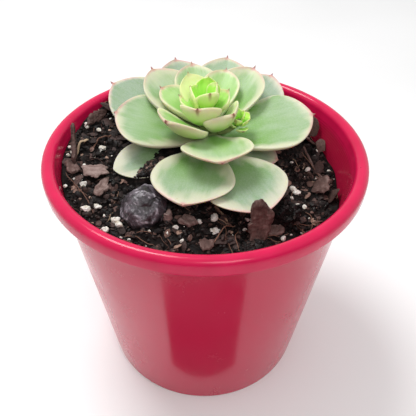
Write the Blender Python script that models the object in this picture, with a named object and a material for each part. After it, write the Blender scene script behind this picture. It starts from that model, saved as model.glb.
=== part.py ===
"""Potted succulent: a rosette of thick leaves with a small offset, planted in potting mix in a round plastic pot.

Units are metres and degrees. +Z is up, and the origin is the centre of the pot's foot, on the surface it stands on.
Azimuths turn from +X towards +Y. The pot's front is at -Y.
"""

import math
import random
from collections import namedtuple

import bpy
import bmesh
from mathutils import Matrix, Vector
from mathutils.bvhtree import BVHTree

MM = 0.001

# ---- Pot: a tapered wall with a rolled lip, a foot ring and a raised floor with drain slots ----
POT_HEIGHT = 120.0 * MM
RIM_RADIUS = 70.0 * MM  # outside of the lip
FOOT_RADIUS = 50.0 * MM  # outside of the wall at the bottom
WALL = 1.4 * MM
LIP_WIDTH = 5.8 * MM  # from the lip's outside to the wall's inside, at the top
LIP_DROP = 7.2 * MM  # how far the lip hangs below the pot's top
FOOT_RING_WIDTH = 3.2 * MM
FOOT_RING_HEIGHT = 3.0 * MM  # how far the floor's underside stands off the surface
FOOT_ROUNDING = 1.0 * MM
FLOOR = 1.8 * MM
POT_SEGMENTS = 72
DRAIN_SLOTS = 8
DRAIN_SLOT_SEGMENTS = 3  # each slot's length, in segments of the pot
DRAIN_SLOT_WIDTH = 3.6 * MM
DRAIN_SLOT_INSET = 5.0 * MM  # from the foot ring's inside to the slot

# ---- Potting mix ----
SOIL_DROP = 17.5 * MM  # from the pot's top to the mix at the pot's centre
SOIL_RISE_TO_LEFT = 0.09  # slope of the surface, up towards -X
SOIL_RISE_TO_BACK = 0.13  # slope of the surface, up towards +Y
SOIL_MOUND = 3.0 * MM  # how far the mix is heaped up round the stem
SOIL_MOUND_SPREAD = 24.0 * MM
SOIL_BANK = 5.0 * MM  # how much higher the mix is banked against the wall on its highest side
SOIL_BANK_AZIMUTH = 143.0
SOIL_LUMP = 0.9 * MM
SOIL_LUMP_LENGTH = 17.0 * MM
SOIL_RINGS = 11
SOIL_SEGMENTS = 48

CLEARANCE = 0.3 * MM  # the gap kept between any two pieces that touch
MERGED_WITHIN = 0.002 * MM  # points of a cut surface that are nearer than this are one point

# ---- Plant ----
STEM_X = 2.0 * MM
STEM_Y = 14.5 * MM
STEM_RADIUS = 4.6 * MM
STEM_TIP_RADIUS = 1.1 * MM
STEM_HEIGHT = 24.0 * MM  # above the mix
STEM_LEAN = 2.8 * MM  # how far the stem's tip leans towards -X
ROOT_DEPTH = 16.0 * MM  # how far the stem is sunk in the mix
ROOT_RADIUS = 2.2 * MM
STEM_SEGMENTS = 16
LEAF_STATIONS = 9
LEAF_SIDES = 12
LEAF_THICKNESS = 4.2 * MM  # of a leaf of LEAF_THICKNESS_AT length; shorter leaves are thinner
LEAF_THICKNESS_AT = 45.0 * MM
LEAF_THINNING = 0.35  # 0: all leaves are as thick as each other, 1: their thickness goes with their length
LEAF_LEAST_THICKNESS = 1.7 * MM
LEAF_WIDEST = 0.64  # where along its length a leaf is widest
LEAF_BASE_SHARE = 0.30  # a leaf's width where it leaves the stem, as a share of its greatest width
POINT_LENGTH = 1.5 * MM  # the sharp point at a leaf's tip

# seat: the base's height above the mix. pitch and tip_pitch: the blade's slope at its base and at its tip.
# roll turns the blade about its length, and cup is how far its edges curl up, as a share of half its width.
Leaf = namedtuple("Leaf", "name azimuth seat length width pitch tip_pitch roll cup")

LEAVES = (
    Leaf("leaf_01_half_buried", 200, 0.8, 41, 26, 2, -5, -5, 0.14),
    Leaf("leaf_02_low_right", 346, 1.0, 27, 21, 1, -3, 0, 0.10),
    Leaf("leaf_03_low_front_right", 296, 1.8, 47, 37, 3, -1, 0, 0.12),
    Leaf("leaf_04_back", 111, 2.9, 49, 31, 17, 30, 0, 0.14),
    Leaf("leaf_05_back_right", 53, 3.4, 48, 31, 12, 22, 10, 0.12),
    Leaf("leaf_06_front", 257, 4.2, 42, 36, 5, -3, 0, 0.10),
    Leaf("leaf_07_back_left", 150, 3.8, 52, 32, 12, 22, -12, 0.10),
    Leaf("leaf_08_back", 80, 5.2, 47, 31, 17, 28, 0, 0.14),
    Leaf("leaf_09_right", 8, 5.8, 44, 36, 11, 15, 10, 0.12),
    Leaf("leaf_10_left", 173, 7.0, 40, 33, 11, 16, -12, 0.12),
    Leaf("leaf_11_back_left", 132, 7.6, 41, 28, 18, 32, 3, 0.23),
    Leaf("leaf_12_front", 279, 9.8, 31, 31, 12, 17, 0, 0.20),
    Leaf("leaf_13_back_right", 57, 9.6, 38, 24, 18, 30, 5, 0.31),
    Leaf("leaf_14_back", 104, 10.8, 35, 22, 21, 30, 0, 0.25),
    Leaf("leaf_15_front_left", 222, 12.0, 24.3, 28.3, 18, 49, 5, 0.27),
    Leaf("leaf_16_back", 75, 12.8, 30, 18, 19, 31, 4, 0.35),
    Leaf("leaf_17_left", 144, 13.8, 25.3, 15.5, 15, 29, -4, 0.36),
    Leaf("leaf_18_front_right", 320, 14.2, 15, 23.2, 27, 63, 2, 0.44),
    Leaf("leaf_19_inner_back_left", 122, 15.7, 21.0, 15.6, 38, 60, 3, 0.31),
    Leaf("leaf_20_inner_front", 255, 17.8, 18, 18.4, 24, 66, 5, 0.45),
    Leaf("leaf_21_inner_right", 32, 18.3, 13, 12.5, 35, 63, 0, 0.39),
    Leaf("leaf_22_inner_left", 158, 18.6, 12.5, 11.5, 26, 42, 1, 0.40),
    Leaf("leaf_23_heart_back", 81, 21.0, 14, 12, 57, 82, 0, 0.42),
    Leaf("leaf_24_heart_front", 288, 22.7, 12, 10.6, 46, 82, 0, 0.42),
    Leaf("leaf_25_heart_left", 172, 20.6, 12.8, 11.5, 58, 80, 0, 0.42),
    Leaf("leaf_26_heart_bud", 22, 22.2, 12.2, 9, 62, 84, 0, 0.42),
)

# The offset: a small rosette on a short side shoot, between the front and the right leaves.
OFFSET_AZIMUTH = 352.0
OFFSET_REACH = 12.8 * MM  # from the stem's axis to the offset's
OFFSET_FOOT = 10.5 * MM  # where the side shoot leaves the stem, above the mix
OFFSET_TOP = 18.2 * MM  # the side shoot's tip above the mix
OFFSET_STEM_RADIUS = 1.4 * MM
OFFSET_STEM_TIP_RADIUS = 0.5 * MM
OFFSET_STEM_STATIONS = 7
OFFSET_LEAVES = (
    Leaf("offset_leaf_1", 288, -4.4, 6.4, 5.8, 8, 36, 0, 0.34),
    Leaf("offset_leaf_2", 205, -3.8, 5.2, 5.2, 22, 52, 0, 0.34),
    Leaf("offset_leaf_3", 40, -3.6, 6.8, 6.0, 30, 60, 0, 0.34),
    Leaf("offset_leaf_4", 335, -3.0, 6.2, 5.8, 30, 62, 0, 0.35),
    Leaf("offset_leaf_5", 245, -2.4, 5.4, 5.4, 38, 72, 0, 0.36),
    Leaf("offset_leaf_6", 120, -1.8, 6.4, 5.6, 48, 78, 0, 0.38),
    Leaf("offset_leaf_7", 10, -0.8, 5.0, 4.6, 56, 84, 0, 0.40),
)
OFFSET_STATIONS = 6
OFFSET_SIDES = 8
OFFSET_THICKNESS = 1.3 * MM

# ---- What lies in the mix ----
# azimuth and inset place a piece from the pot's inner wall, and sink is how much of its height is in the mix.
# heading is the way its long side points, rise the slope of that side, and lean its turn about that side.
Chip = namedtuple("Chip", "name azimuth inset length width thickness heading rise lean sink")

CHIPS = (
    Chip("bark_left_upright", 176, 4.5, 22, 4.5, 3.0, 98, 38, 0, 0.3),
    Chip("bark_left_flat", 187, 13.0, 14, 13, 3.0, 160, 4, 8, 0.3),
    Chip("bark_left_long", 198, 16.0, 16, 6.5, 2.5, 253, 4, -10, 0.3),
    Chip("bark_left_low", 186, 4.5, 11, 7, 3.0, 100, 4, 20, 0.3),
    Chip("bark_back_left_plate", 152, 4.0, 19, 8, 1.8, 60, 0, 48, 0.4),
    Chip("bark_by_pebble", 240, 31.0, 8, 5.5, 4.0, 70, 5, 0, 0.3),
    Chip("bark_front", 256, 32.0, 9.5, 8, 3.5, 150, 4, 10, 0.3),
    Chip("bark_front_low", 271, 21.0, 8, 7, 3.0, 80, 4, 0, 0.3),
    Chip("bark_flake_upright", 302, 18.6, 28, 11, 2.4, 80, 76, 6, 0.3),
    Chip("bark_flake_low", 316, 19.0, 14, 7, 2.2, 10, 2, 10, 0.3),
    Chip("bark_right_back", 31, 5.0, 11, 9, 2.2, 120, 4, 45, 0.35),
    Chip("bark_right", 357, 7.5, 12, 9, 2.6, 85, 4, -28, 0.3),
)
CHIP_CORNERS = 8
CHIP_RAGGEDNESS = 0.34
CHIP_BEND = 0.10  # how far a chip's ends curl up, as a share of its length

PEBBLE_AZIMUTH = 222.0
PEBBLE_INSET = 27.5 * MM
PEBBLE_LENGTH = 24.0 * MM
PEBBLE_WIDTH = 20.0 * MM
PEBBLE_HEIGHT = 17.5 * MM
PEBBLE_TURN = 75.0
PEBBLE_SINK = 0.37

CLUMP_AZIMUTH = 328.0
CLUMP_INSET = 21.0 * MM
CLUMP_LENGTH = 17.0 * MM
CLUMP_WIDTH = 12.0 * MM
CLUMP_HEIGHT = 11.0 * MM
CLUMP_TURN = 10.0
CLUMP_SINK = 0.4

# Each end of the twig: azimuth, and inset from the wall in millimetres.
TWIG_START = (27.0, 8.0)
TWIG_END = (2.0, 4.5)
TWIG_RADIUS = 0.8 * MM
TWIG_SINK = 0.3
TWIG_BEND = 0.05
TWIG_STATIONS = 7
TWIG_SIDES = 6

# Grains of perlite: azimuth, inset from the wall and diameter in millimetres.
PERLITE = (
    (167, 14.5, 3.6),
    (194, 8.5, 3.8),
    (209, 11.0, 3.4),
    (220, 14.0, 4.2),
    (223, 7.0, 4.2),
    (278, 29.0, 4.4),
    (352, 19.0, 3.8),
)
PERLITE_SINK = 0.35

# Colour, roughness and metallic of each kind of piece.
MATERIALS = {
    "pot": ((0.70, 0.018, 0.095), 0.22, 0.0),
    "soil": ((0.020, 0.013, 0.011), 0.92, 0.0),
    "stem": ((0.30, 0.36, 0.16), 0.60, 0.0),
    "leaf": ((0.38, 0.55, 0.34), 0.45, 0.0),
    "heart": ((0.46, 0.72, 0.16), 0.42, 0.0),
    "bark": ((0.085, 0.050, 0.042), 0.85, 0.0),
    "pebble": ((0.075, 0.065, 0.075), 0.45, 0.0),
    "clump": ((0.012, 0.009, 0.008), 0.95, 0.0),
    "perlite": ((0.80, 0.78, 0.72), 0.90, 0.0),
}


def clear_scene():
    for obj in list(bpy.data.objects):
        bpy.data.objects.remove(obj)


def material(kind):
    """The Principled material of one kind of piece, made once."""
    found = bpy.data.materials.get(kind)
    if found:
        return found
    colour, roughness, metallic = MATERIALS[kind]
    made = bpy.data.materials.new(kind)
    made.use_nodes = True
    shader = made.node_tree.nodes["Principled BSDF"]
    shader.inputs["Base Color"].default_value = (*colour, 1.0)
    shader.inputs["Roughness"].default_value = roughness
    shader.inputs["Metallic"].default_value = metallic
    return made


def add_object(name, mesh, kind):
    obj = bpy.data.objects.new(name, mesh)
    bpy.context.scene.collection.objects.link(obj)
    mesh.materials.append(material(kind))
    mesh.shade_smooth()
    mesh.set_sharp_from_angle(angle=math.radians(40))
    return obj


def on_circle(radius, degrees, height=0.0):
    turn = math.radians(degrees)
    return Vector((radius * math.cos(turn), radius * math.sin(turn), height))


# ---- Shapes that everything is made from ----


def turned_mesh(name, outline, segments):
    """A closed outline of (radius, height) turned about Z. It may have two points on the axis, next to each other."""
    mesh_maker = bmesh.new()
    rings = []
    for radius, height in outline:
        if radius == 0.0:
            rings.append([mesh_maker.verts.new((0.0, 0.0, height))] * segments)
        else:
            turns = [360.0 * k / segments for k in range(segments)]
            rings.append([mesh_maker.verts.new(on_circle(radius, t, height)) for t in turns])
    for lower, upper in zip(rings, rings[1:] + rings[:1]):
        if lower[0] is lower[1] and upper[0] is upper[1]:
            continue
        for k in range(segments):
            after = (k + 1) % segments
            corners = []
            for vert in (lower[k], lower[after], upper[after], upper[k]):
                if vert not in corners:
                    corners.append(vert)
            mesh_maker.faces.new(corners)
    return finished_mesh(name, mesh_maker)


def lofted_mesh(name, rings, point=None):
    """Rings of points joined in order, closed by a cap at the start and by a cap or a point at the end."""
    mesh_maker = bmesh.new()
    rows = [[mesh_maker.verts.new(p) for p in ring] for ring in rings]
    sides = len(rows[0])
    for near, far in zip(rows, rows[1:]):
        for k in range(sides):
            after = (k + 1) % sides
            mesh_maker.faces.new((near[k], near[after], far[after], far[k]))
    mesh_maker.faces.new(rows[0])
    if point is None:
        mesh_maker.faces.new(rows[-1])
    else:
        tip = mesh_maker.verts.new(point)
        for k in range(sides):
            mesh_maker.faces.new((rows[-1][k], rows[-1][(k + 1) % sides], tip))
    return finished_mesh(name, mesh_maker)


def finished_mesh(name, mesh_maker):
    bmesh.ops.triangulate(mesh_maker, faces=[f for f in mesh_maker.faces if len(f.verts) > 4])
    bmesh.ops.recalc_face_normals(mesh_maker, faces=mesh_maker.faces)
    mesh = bpy.data.meshes.new(name)
    mesh_maker.to_mesh(mesh)
    mesh_maker.free()
    return mesh


# ---- Room between pieces ----


def tree_of(mesh, matrix):
    mesh_maker = bmesh.new()
    mesh_maker.from_mesh(mesh)
    mesh_maker.transform(matrix)
    tree = BVHTree.FromBMesh(mesh_maker)
    mesh_maker.free()
    return tree


def swollen_mesh(obj):
    """The piece's mesh, larger by the clearance all round."""
    mesh = obj.data.copy()
    normals = [v.normal.copy() for v in mesh.vertices]
    for vertex, normal in zip(mesh.vertices, normals):
        vertex.co += normal * CLEARANCE
    return mesh


def keep_main_body(mesh):
    """Drops what a cut has parted from the rest of the piece, and any sliver that hangs on it by an edge alone."""
    mesh_maker = bmesh.new()
    mesh_maker.from_mesh(mesh)
    bmesh.ops.triangulate(mesh_maker, faces=mesh_maker.faces)
    bmesh.ops.remove_doubles(mesh_maker, verts=mesh_maker.verts, dist=MERGED_WITHIN)
    waiting = set(mesh_maker.faces)
    bodies = []
    while waiting:
        start = waiting.pop()
        body, edge_of_search = [start], [start]
        while edge_of_search:
            for edge in edge_of_search.pop().edges:
                beside = [face for face in edge.link_faces if face in waiting]
                if len(edge.link_faces) == 2 and beside:
                    waiting.remove(beside[0])
                    body.append(beside[0])
                    edge_of_search.append(beside[0])
        bodies.append(body)
    bodies.sort(key=lambda body: sum(face.calc_area() for face in body))
    dropped = [face for body in bodies[:-1] for face in body]
    bmesh.ops.delete(mesh_maker, geom=dropped, context="FACES")
    mesh_maker.to_mesh(mesh)
    mesh_maker.free()


def make_room(piece, neighbours):
    """Cuts the piece back from each neighbour that it would touch, so that it lies against it with the clearance."""
    own_tree = tree_of(piece.data, piece.matrix_world)
    room = bpy.data.collections.new("room_in_" + piece.name)
    bpy.context.scene.collection.children.link(room)
    for neighbour in neighbours:
        mesh = swollen_mesh(neighbour)
        if own_tree.overlap(tree_of(mesh, neighbour.matrix_world)):
            cutter = bpy.data.objects.new("room_for_" + neighbour.name, mesh)
            cutter.matrix_world = neighbour.matrix_world.copy()
            room.objects.link(cutter)
        else:
            bpy.data.meshes.remove(mesh)
    if room.objects:
        cut = piece.modifiers.new("room", "BOOLEAN")
        cut.operation = "DIFFERENCE"
        cut.solver = "EXACT"
        cut.operand_type = "COLLECTION"
        cut.collection = room
        cut.use_self = True
        graph = bpy.context.evaluated_depsgraph_get()
        carved = bpy.data.meshes.new_from_object(piece.evaluated_get(graph))
        piece.modifiers.clear()
        keep_main_body(carved)
    else:
        carved = piece.data
    for cutter in list(room.objects):
        mesh = cutter.data
        bpy.data.objects.remove(cutter)
        bpy.data.meshes.remove(mesh)
    bpy.data.collections.remove(room)
    return carved


# ---- Pot ----


def wall_outside(height):
    """The wall's outer radius at a height: a straight taper from the foot to just under the lip."""
    collar_radius = RIM_RADIUS - LIP_WIDTH + WALL
    return FOOT_RADIUS + (collar_radius - FOOT_RADIUS) * height / POT_HEIGHT


def wall_inside(height):
    return wall_outside(height) - WALL


def arc(centre_r, centre_z, radius_r, radius_z, start, end, steps):
    """Points along part of an ellipse in the outline's plane, from one angle to the other."""
    points = []
    for k in range(steps + 1):
        turn = math.radians(start + (end - start) * k / steps)
        points.append((centre_r + radius_r * math.cos(turn), centre_z + radius_z * math.sin(turn)))
    return points


def pot_outline():
    """The wall's section, up the outside from the foot, over the lip, down the inside and across the floor."""
    lip_centre = RIM_RADIUS - LIP_WIDTH / 2
    lip_round = LIP_WIDTH / 2
    lip_bottom = POT_HEIGHT - LIP_DROP
    lip_shoulder = POT_HEIGHT - lip_round
    inner_round = lip_round - WALL
    floor_top = FOOT_RING_HEIGHT + FLOOR
    outline = [(FOOT_RADIUS - FOOT_RING_WIDTH, 0.0)]
    outline += arc(FOOT_RADIUS - FOOT_ROUNDING, FOOT_ROUNDING, FOOT_ROUNDING, FOOT_ROUNDING, -90, 0, 2)
    outline += [(wall_outside(lip_bottom), lip_bottom)]
    outline += arc(lip_centre, lip_shoulder, inner_round, inner_round, 180, 0, 5)
    outline += [(RIM_RADIUS - WALL - 0.1 * MM, lip_bottom)]
    outline += [(RIM_RADIUS - 0.6 * MM, lip_bottom)]
    outline += [(RIM_RADIUS, lip_bottom + LIP_DROP * 0.4)]
    outline += arc(lip_centre, lip_shoulder, lip_round, lip_round, 0, 180, 8)
    outline += [(wall_inside(lip_bottom), lip_bottom)]
    outline += [(wall_inside(floor_top + FLOOR), floor_top + FLOOR)]
    outline += [(wall_inside(floor_top) - FLOOR, floor_top)]
    return outline


def make_pot():
    """The outline is turned about Z, and the floor is filled in with slots left open in one of its rings."""
    floor_top = FOOT_RING_HEIGHT + FLOOR
    floor_edge = wall_inside(floor_top) - FLOOR
    ring_inside = FOOT_RADIUS - FOOT_RING_WIDTH
    slot_outer = ring_inside - DRAIN_SLOT_INSET
    slot_inner = slot_outer - DRAIN_SLOT_WIDTH
    spacing = POT_SEGMENTS // DRAIN_SLOTS
    mesh_maker = bmesh.new()

    def ring(radius, height):
        turns = [360.0 * k / POT_SEGMENTS for k in range(POT_SEGMENTS)]
        return [mesh_maker.verts.new(on_circle(radius, t, height)) for t in turns]

    def band(first, second, left_open=lambda k: False):
        for k in range(POT_SEGMENTS):
            if not left_open(k):
                after = (k + 1) % POT_SEGMENTS
                mesh_maker.faces.new((first[k], first[after], second[after], second[k]))

    def slotted(k):
        return k % spacing < DRAIN_SLOT_SEGMENTS

    walls = [ring(radius, height) for radius, height in pot_outline()]
    top = [walls[-1]] + [ring(radius, floor_top) for radius in (slot_outer, slot_inner)]
    under = [walls[0]] + [ring(radius, FOOT_RING_HEIGHT) for radius in (ring_inside, slot_outer, slot_inner)]
    for first, second in zip(walls, walls[1:]):
        band(first, second)
    band(top[0], top[1])
    band(top[1], top[2], slotted)
    band(under[0], under[1])
    band(under[1], under[2])
    band(under[2], under[3], slotted)
    for upper, lower in ((top[1], under[2]), (top[2], under[3])):
        band(upper, lower, lambda k: not slotted(k))
    for k in range(POT_SEGMENTS):
        if slotted(k) != slotted(k - 1):
            mesh_maker.faces.new((top[1][k], top[2][k], under[3][k], under[2][k]))
    for inner_ring, height in ((top[2], floor_top), (under[3], FOOT_RING_HEIGHT)):
        centre = mesh_maker.verts.new((0.0, 0.0, height))
        for k in range(POT_SEGMENTS):
            mesh_maker.faces.new((inner_ring[k], inner_ring[(k + 1) % POT_SEGMENTS], centre))
    assert floor_edge > slot_outer
    return add_object("pot", finished_mesh("pot", mesh_maker), "pot")


# ---- Potting mix ----


def soil_height(x, y):
    """The mix's surface: a slope up to the back and the left, a mound round the stem, low lumps and the bank."""
    level = POT_HEIGHT - SOIL_DROP - SOIL_RISE_TO_LEFT * x + SOIL_RISE_TO_BACK * y
    from_stem = math.hypot(x - STEM_X, y - STEM_Y)
    mound = SOIL_MOUND * math.exp(-((from_stem / SOIL_MOUND_SPREAD) ** 2))
    wave = 2 * math.pi / SOIL_LUMP_LENGTH
    lumps = SOIL_LUMP * math.sin(wave * x + 1.0) * math.sin(wave * y * 0.8 + 2.0)
    outwards = math.hypot(x, y) / wall_inside(POT_HEIGHT - SOIL_DROP)
    towards_bank = 0.5 + 0.5 * math.cos(math.atan2(y, x) - math.radians(SOIL_BANK_AZIMUTH))
    return level + mound + lumps + SOIL_BANK * towards_bank * min(outwards, 1.0) ** 4


def soil_edge(azimuth):
    """The surface's height and radius where it meets the wall's inside, less the clearance."""
    radius = wall_inside(POT_HEIGHT - SOIL_DROP) - CLEARANCE
    for _ in range(6):
        point = on_circle(radius, azimuth)
        height = min(soil_height(point.x, point.y), POT_HEIGHT - LIP_WIDTH)
        radius = wall_inside(height) - CLEARANCE
    return radius, height


def make_soil():
    floor_top = FOOT_RING_HEIGHT + FLOOR
    bottom = floor_top + CLEARANCE
    corner = bottom + FLOOR
    mesh_maker = bmesh.new()
    turns = [360.0 * k / SOIL_SEGMENTS for k in range(SOIL_SEGMENTS)]
    rows = []
    for k in range(1, SOIL_RINGS + 1):
        row = []
        for turn in turns:
            edge_radius, edge_height = soil_edge(turn)
            point = on_circle(edge_radius * k / SOIL_RINGS, turn)
            height = edge_height if k == SOIL_RINGS else soil_height(point.x, point.y)
            row.append(mesh_maker.verts.new((point.x, point.y, height)))
        rows.append(row)
    corner_radius = wall_inside(corner) - CLEARANCE
    bottom_radius = corner_radius - FLOOR
    rows.append([mesh_maker.verts.new(on_circle(corner_radius, t, corner)) for t in turns])
    rows.append([mesh_maker.verts.new(on_circle(bottom_radius, t, bottom)) for t in turns])
    for near, far in zip(rows, rows[1:]):
        for k in range(SOIL_SEGMENTS):
            after = (k + 1) % SOIL_SEGMENTS
            mesh_maker.faces.new((near[k], near[after], far[after], far[k]))
    for row, height in ((rows[0], soil_height(0.0, 0.0)), (rows[-1], bottom)):
        centre = mesh_maker.verts.new((0.0, 0.0, height))
        for k in range(SOIL_SEGMENTS):
            mesh_maker.faces.new((row[k], row[(k + 1) % SOIL_SEGMENTS], centre))
    return add_object("potting_mix", finished_mesh("potting_mix", mesh_maker), "soil")


# ---- Plant ----


def stem_radius(above):
    """The main stem's radius at a height above the mix."""
    share = min(max(above / STEM_HEIGHT, 0.0), 1.0)
    return STEM_RADIUS + (STEM_TIP_RADIUS - STEM_RADIUS) * share**2


def stem_centre(above):
    """The middle of the main stem at a height above the mix: upright at its foot, and leaning more and more."""
    share = max(above / STEM_HEIGHT, 0.0)
    return Vector((-STEM_LEAN * share**2, 0.0, above))


def make_stem(rosette):
    heights = [STEM_HEIGHT * k / 6 for k in range(7)]
    outline = [(0.0, -ROOT_DEPTH), (ROOT_RADIUS, -ROOT_DEPTH), (STEM_RADIUS, -ROOT_DEPTH * 0.3)]
    outline += [(stem_radius(h), h) for h in heights]
    outline += [(0.0, STEM_HEIGHT + STEM_TIP_RADIUS)]
    mesh = turned_mesh("stem", outline, STEM_SEGMENTS)
    for vertex in mesh.vertices:
        vertex.co.x += stem_centre(vertex.co.z).x
    stem = add_object("stem", mesh, "stem")
    stem.parent = rosette
    return stem


def half_width(share):
    """A leaf's half width along its length, as a share of its greatest: narrow base, broad end, blunt point."""
    if share < LEAF_WIDEST:
        rise = math.sin(0.5 * math.pi * share / LEAF_WIDEST) ** 1.35
        return LEAF_BASE_SHARE + (1.0 - LEAF_BASE_SHARE) * rise
    fall = (share - LEAF_WIDEST) / (1.0 - LEAF_WIDEST)
    return max(1.0 - fall**2.1, 0.0) ** 0.72


def thickness_along(share):
    """A leaf's thickness along its length, as a share of its greatest."""
    return 0.62 + 0.38 * math.sin(math.pi * min(share / 0.8, 1.0)) - 0.34 * max(share - 0.6, 0.0) / 0.4


def leaf_mesh(leaf, thickness, stations, sides):
    """A fleshy blade that starts at the origin and runs along +X, rising from its base's slope to its tip's."""
    length, width = leaf.length * MM, leaf.width * MM
    across = Vector((0.0, 1.0, 0.0))
    place = Vector((0.0, 0.0, 0.0))
    previous = 0.0
    rings = []
    for k in range(stations):
        share = 0.985 * math.sin(0.5 * math.pi * k / (stations - 1)) ** 0.9
        slope = math.radians(leaf.pitch + (leaf.tip_pitch - leaf.pitch) * share)
        along = Vector((math.cos(slope), 0.0, math.sin(slope)))
        place = place + along * length * (share - previous)
        previous = share
        side = Matrix.Rotation(math.radians(leaf.roll), 3, along) @ across
        up = along.cross(side)
        half = 0.5 * width * half_width(share)
        deep = thickness * thickness_along(share)
        ring = []
        for j in range(sides):
            angle = 2.0 * math.pi * j / sides
            reach = math.cos(angle)
            flesh = abs(math.sin(angle)) ** 0.9
            rise = deep * (0.38 if math.sin(angle) > 0 else -0.62) * flesh
            curl = leaf.cup * half * reach**2 * min(1.0, share * 3.0)
            ring.append(place + side * half * reach + up * (rise + curl))
        rings.append(ring)
    return lofted_mesh(leaf.name, rings, place + along * POINT_LENGTH * min(1.0, length / (20 * MM)))


def place_leaf(leaf, mesh, rosette, centre, stem_surface, kind):
    """Puts the leaf's base on its stem, whose middle is at the centre, at its own azimuth."""
    obj = add_object(leaf.name, mesh, kind)
    obj.parent = rosette
    obj.location = centre + on_circle(stem_surface + CLEARANCE, leaf.azimuth)
    obj.rotation_euler.z = math.radians(leaf.azimuth)
    return obj


def leaf_thickness(leaf):
    share = leaf.length * MM / LEAF_THICKNESS_AT
    return max(LEAF_LEAST_THICKNESS, LEAF_THICKNESS * share**LEAF_THINNING)


def add_axis(name, location, parent=None):
    """An empty that a rosette's pieces hang from, at the foot of its axis."""
    axis = bpy.data.objects.new(name, None)
    axis.empty_display_size = 5.0 * MM
    axis.location = location
    axis.parent = parent
    bpy.context.scene.collection.objects.link(axis)
    return axis


def make_leaves(rosette):
    """The main rosette, from the lowest leaf to the heart."""
    made = []
    for leaf in LEAVES:
        mesh = leaf_mesh(leaf, leaf_thickness(leaf), LEAF_STATIONS, LEAF_SIDES)
        kind = "heart" if "heart" in leaf.name else "leaf"
        seat = leaf.seat * MM
        made.append(place_leaf(leaf, mesh, rosette, stem_centre(seat), stem_radius(seat), kind))
    return made


def make_offset(rosette):
    """The side shoot, which leaves the stem sideways and turns upwards, and its leaves, seated down from its tip."""
    lean = stem_centre(OFFSET_FOOT).x * math.cos(math.radians(OFFSET_AZIMUTH))
    start = Vector((stem_radius(OFFSET_FOOT) + CLEARANCE + lean, 0.0, OFFSET_FOOT))
    elbow = Vector((OFFSET_REACH, 0.0, OFFSET_FOOT + 0.3 * (OFFSET_TOP - OFFSET_FOOT)))
    tip = Vector((OFFSET_REACH, 0.0, OFFSET_TOP))
    across = Vector((0.0, 1.0, 0.0))
    rings = []
    for k in range(OFFSET_STEM_STATIONS):
        share = k / (OFFSET_STEM_STATIONS - 1)
        centre = start.lerp(elbow, share).lerp(elbow.lerp(tip, share), share)
        along = (elbow - start).lerp(tip - elbow, share).normalized()
        radius = OFFSET_STEM_RADIUS + (OFFSET_STEM_TIP_RADIUS - OFFSET_STEM_RADIUS) * share
        up = along.cross(across)
        turns = [2.0 * math.pi * j / OFFSET_SIDES for j in range(OFFSET_SIDES)]
        rings.append([centre + (across * math.cos(t) + up * math.sin(t)) * radius for t in turns])
    stem = add_object("offset_stem", lofted_mesh("offset_stem", rings), "stem")
    stem.parent = rosette
    stem.rotation_euler.z = math.radians(OFFSET_AZIMUTH)
    shoot_tip = add_axis("offset_axis", on_circle(OFFSET_REACH, OFFSET_AZIMUTH, OFFSET_TOP), rosette)
    leaves = []
    for leaf in OFFSET_LEAVES:
        seat = leaf.seat * MM
        mesh = leaf_mesh(leaf, OFFSET_THICKNESS, OFFSET_STATIONS, OFFSET_SIDES)
        surface = OFFSET_STEM_TIP_RADIUS - 0.12 * seat
        leaves.append(place_leaf(leaf, mesh, shoot_tip, Vector((0.0, 0.0, seat)), surface, "heart"))
    return stem, leaves


# ---- What lies in the mix ----


def bedded_place(azimuth, inset, height, sink):
    """Where a piece of this height stands, in from the wall, with a share of its height in the mix."""
    radius = soil_edge(azimuth)[0] - inset
    point = on_circle(radius, azimuth)
    return Vector((point.x, point.y, soil_height(point.x, point.y) + height * (0.5 - sink)))


def make_chip(chip):
    """A ragged flake of bark, thinner at its edges and curled up at its ends."""
    chance = random.Random(chip.name)
    length, width, thickness = chip.length * MM, chip.width * MM, chip.thickness * MM
    outline = []
    for k in range(CHIP_CORNERS):
        turn = 2.0 * math.pi * (k + chance.uniform(-0.25, 0.25)) / CHIP_CORNERS
        reach = 1.0 - CHIP_RAGGEDNESS * chance.random()
        outline.append((0.5 * length * reach * math.cos(turn), 0.5 * width * reach * math.sin(turn)))
    rings = []
    for share, inward in ((-0.5, 0.84), (-0.2, 1.0), (0.15, 0.98), (0.5, 0.80)):
        bend = [CHIP_BEND * 4.0 * x**2 / length for x, _ in outline]
        rings.append([Vector((x * inward, y * inward, thickness * share + b)) for (x, y), b in zip(outline, bend)])
    obj = add_object(chip.name, lofted_mesh(chip.name, rings), "bark")
    place = bedded_place(chip.azimuth, chip.inset * MM, thickness, chip.sink)
    heading = Matrix.Rotation(math.radians(chip.heading), 4, "Z")
    rise = Matrix.Rotation(math.radians(-chip.rise), 4, "Y")
    lean = Matrix.Rotation(math.radians(chip.lean), 4, "X")
    raised = 0.5 * length * math.sin(math.radians(chip.rise)) + 0.35 * width * abs(math.sin(math.radians(chip.lean)))
    obj.matrix_world = Matrix.Translation(place + Vector((0.0, 0.0, 0.7 * raised))) @ heading @ rise @ lean
    return obj


def lumpy_ball(name, size, seed, detail, roughness):
    """An uneven rounded lump of this length, width and height."""
    chance = random.Random(seed)
    mesh_maker = bmesh.new()
    bmesh.ops.create_icosphere(mesh_maker, subdivisions=detail, radius=0.5)
    for vert in mesh_maker.verts:
        vert.co *= 1.0 - roughness * chance.random()
        vert.co = Vector((vert.co.x * size[0], vert.co.y * size[1], vert.co.z * size[2]))
    return finished_mesh(name, mesh_maker)


def make_lump(name, kind, azimuth, inset, size, turn, sink, roughness):
    obj = add_object(name, lumpy_ball(name, size, 4, 2, roughness), kind)
    place = bedded_place(azimuth, inset, size[2], sink)
    obj.matrix_world = Matrix.Translation(place) @ Matrix.Rotation(math.radians(turn), 4, "Z")
    return obj


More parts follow.
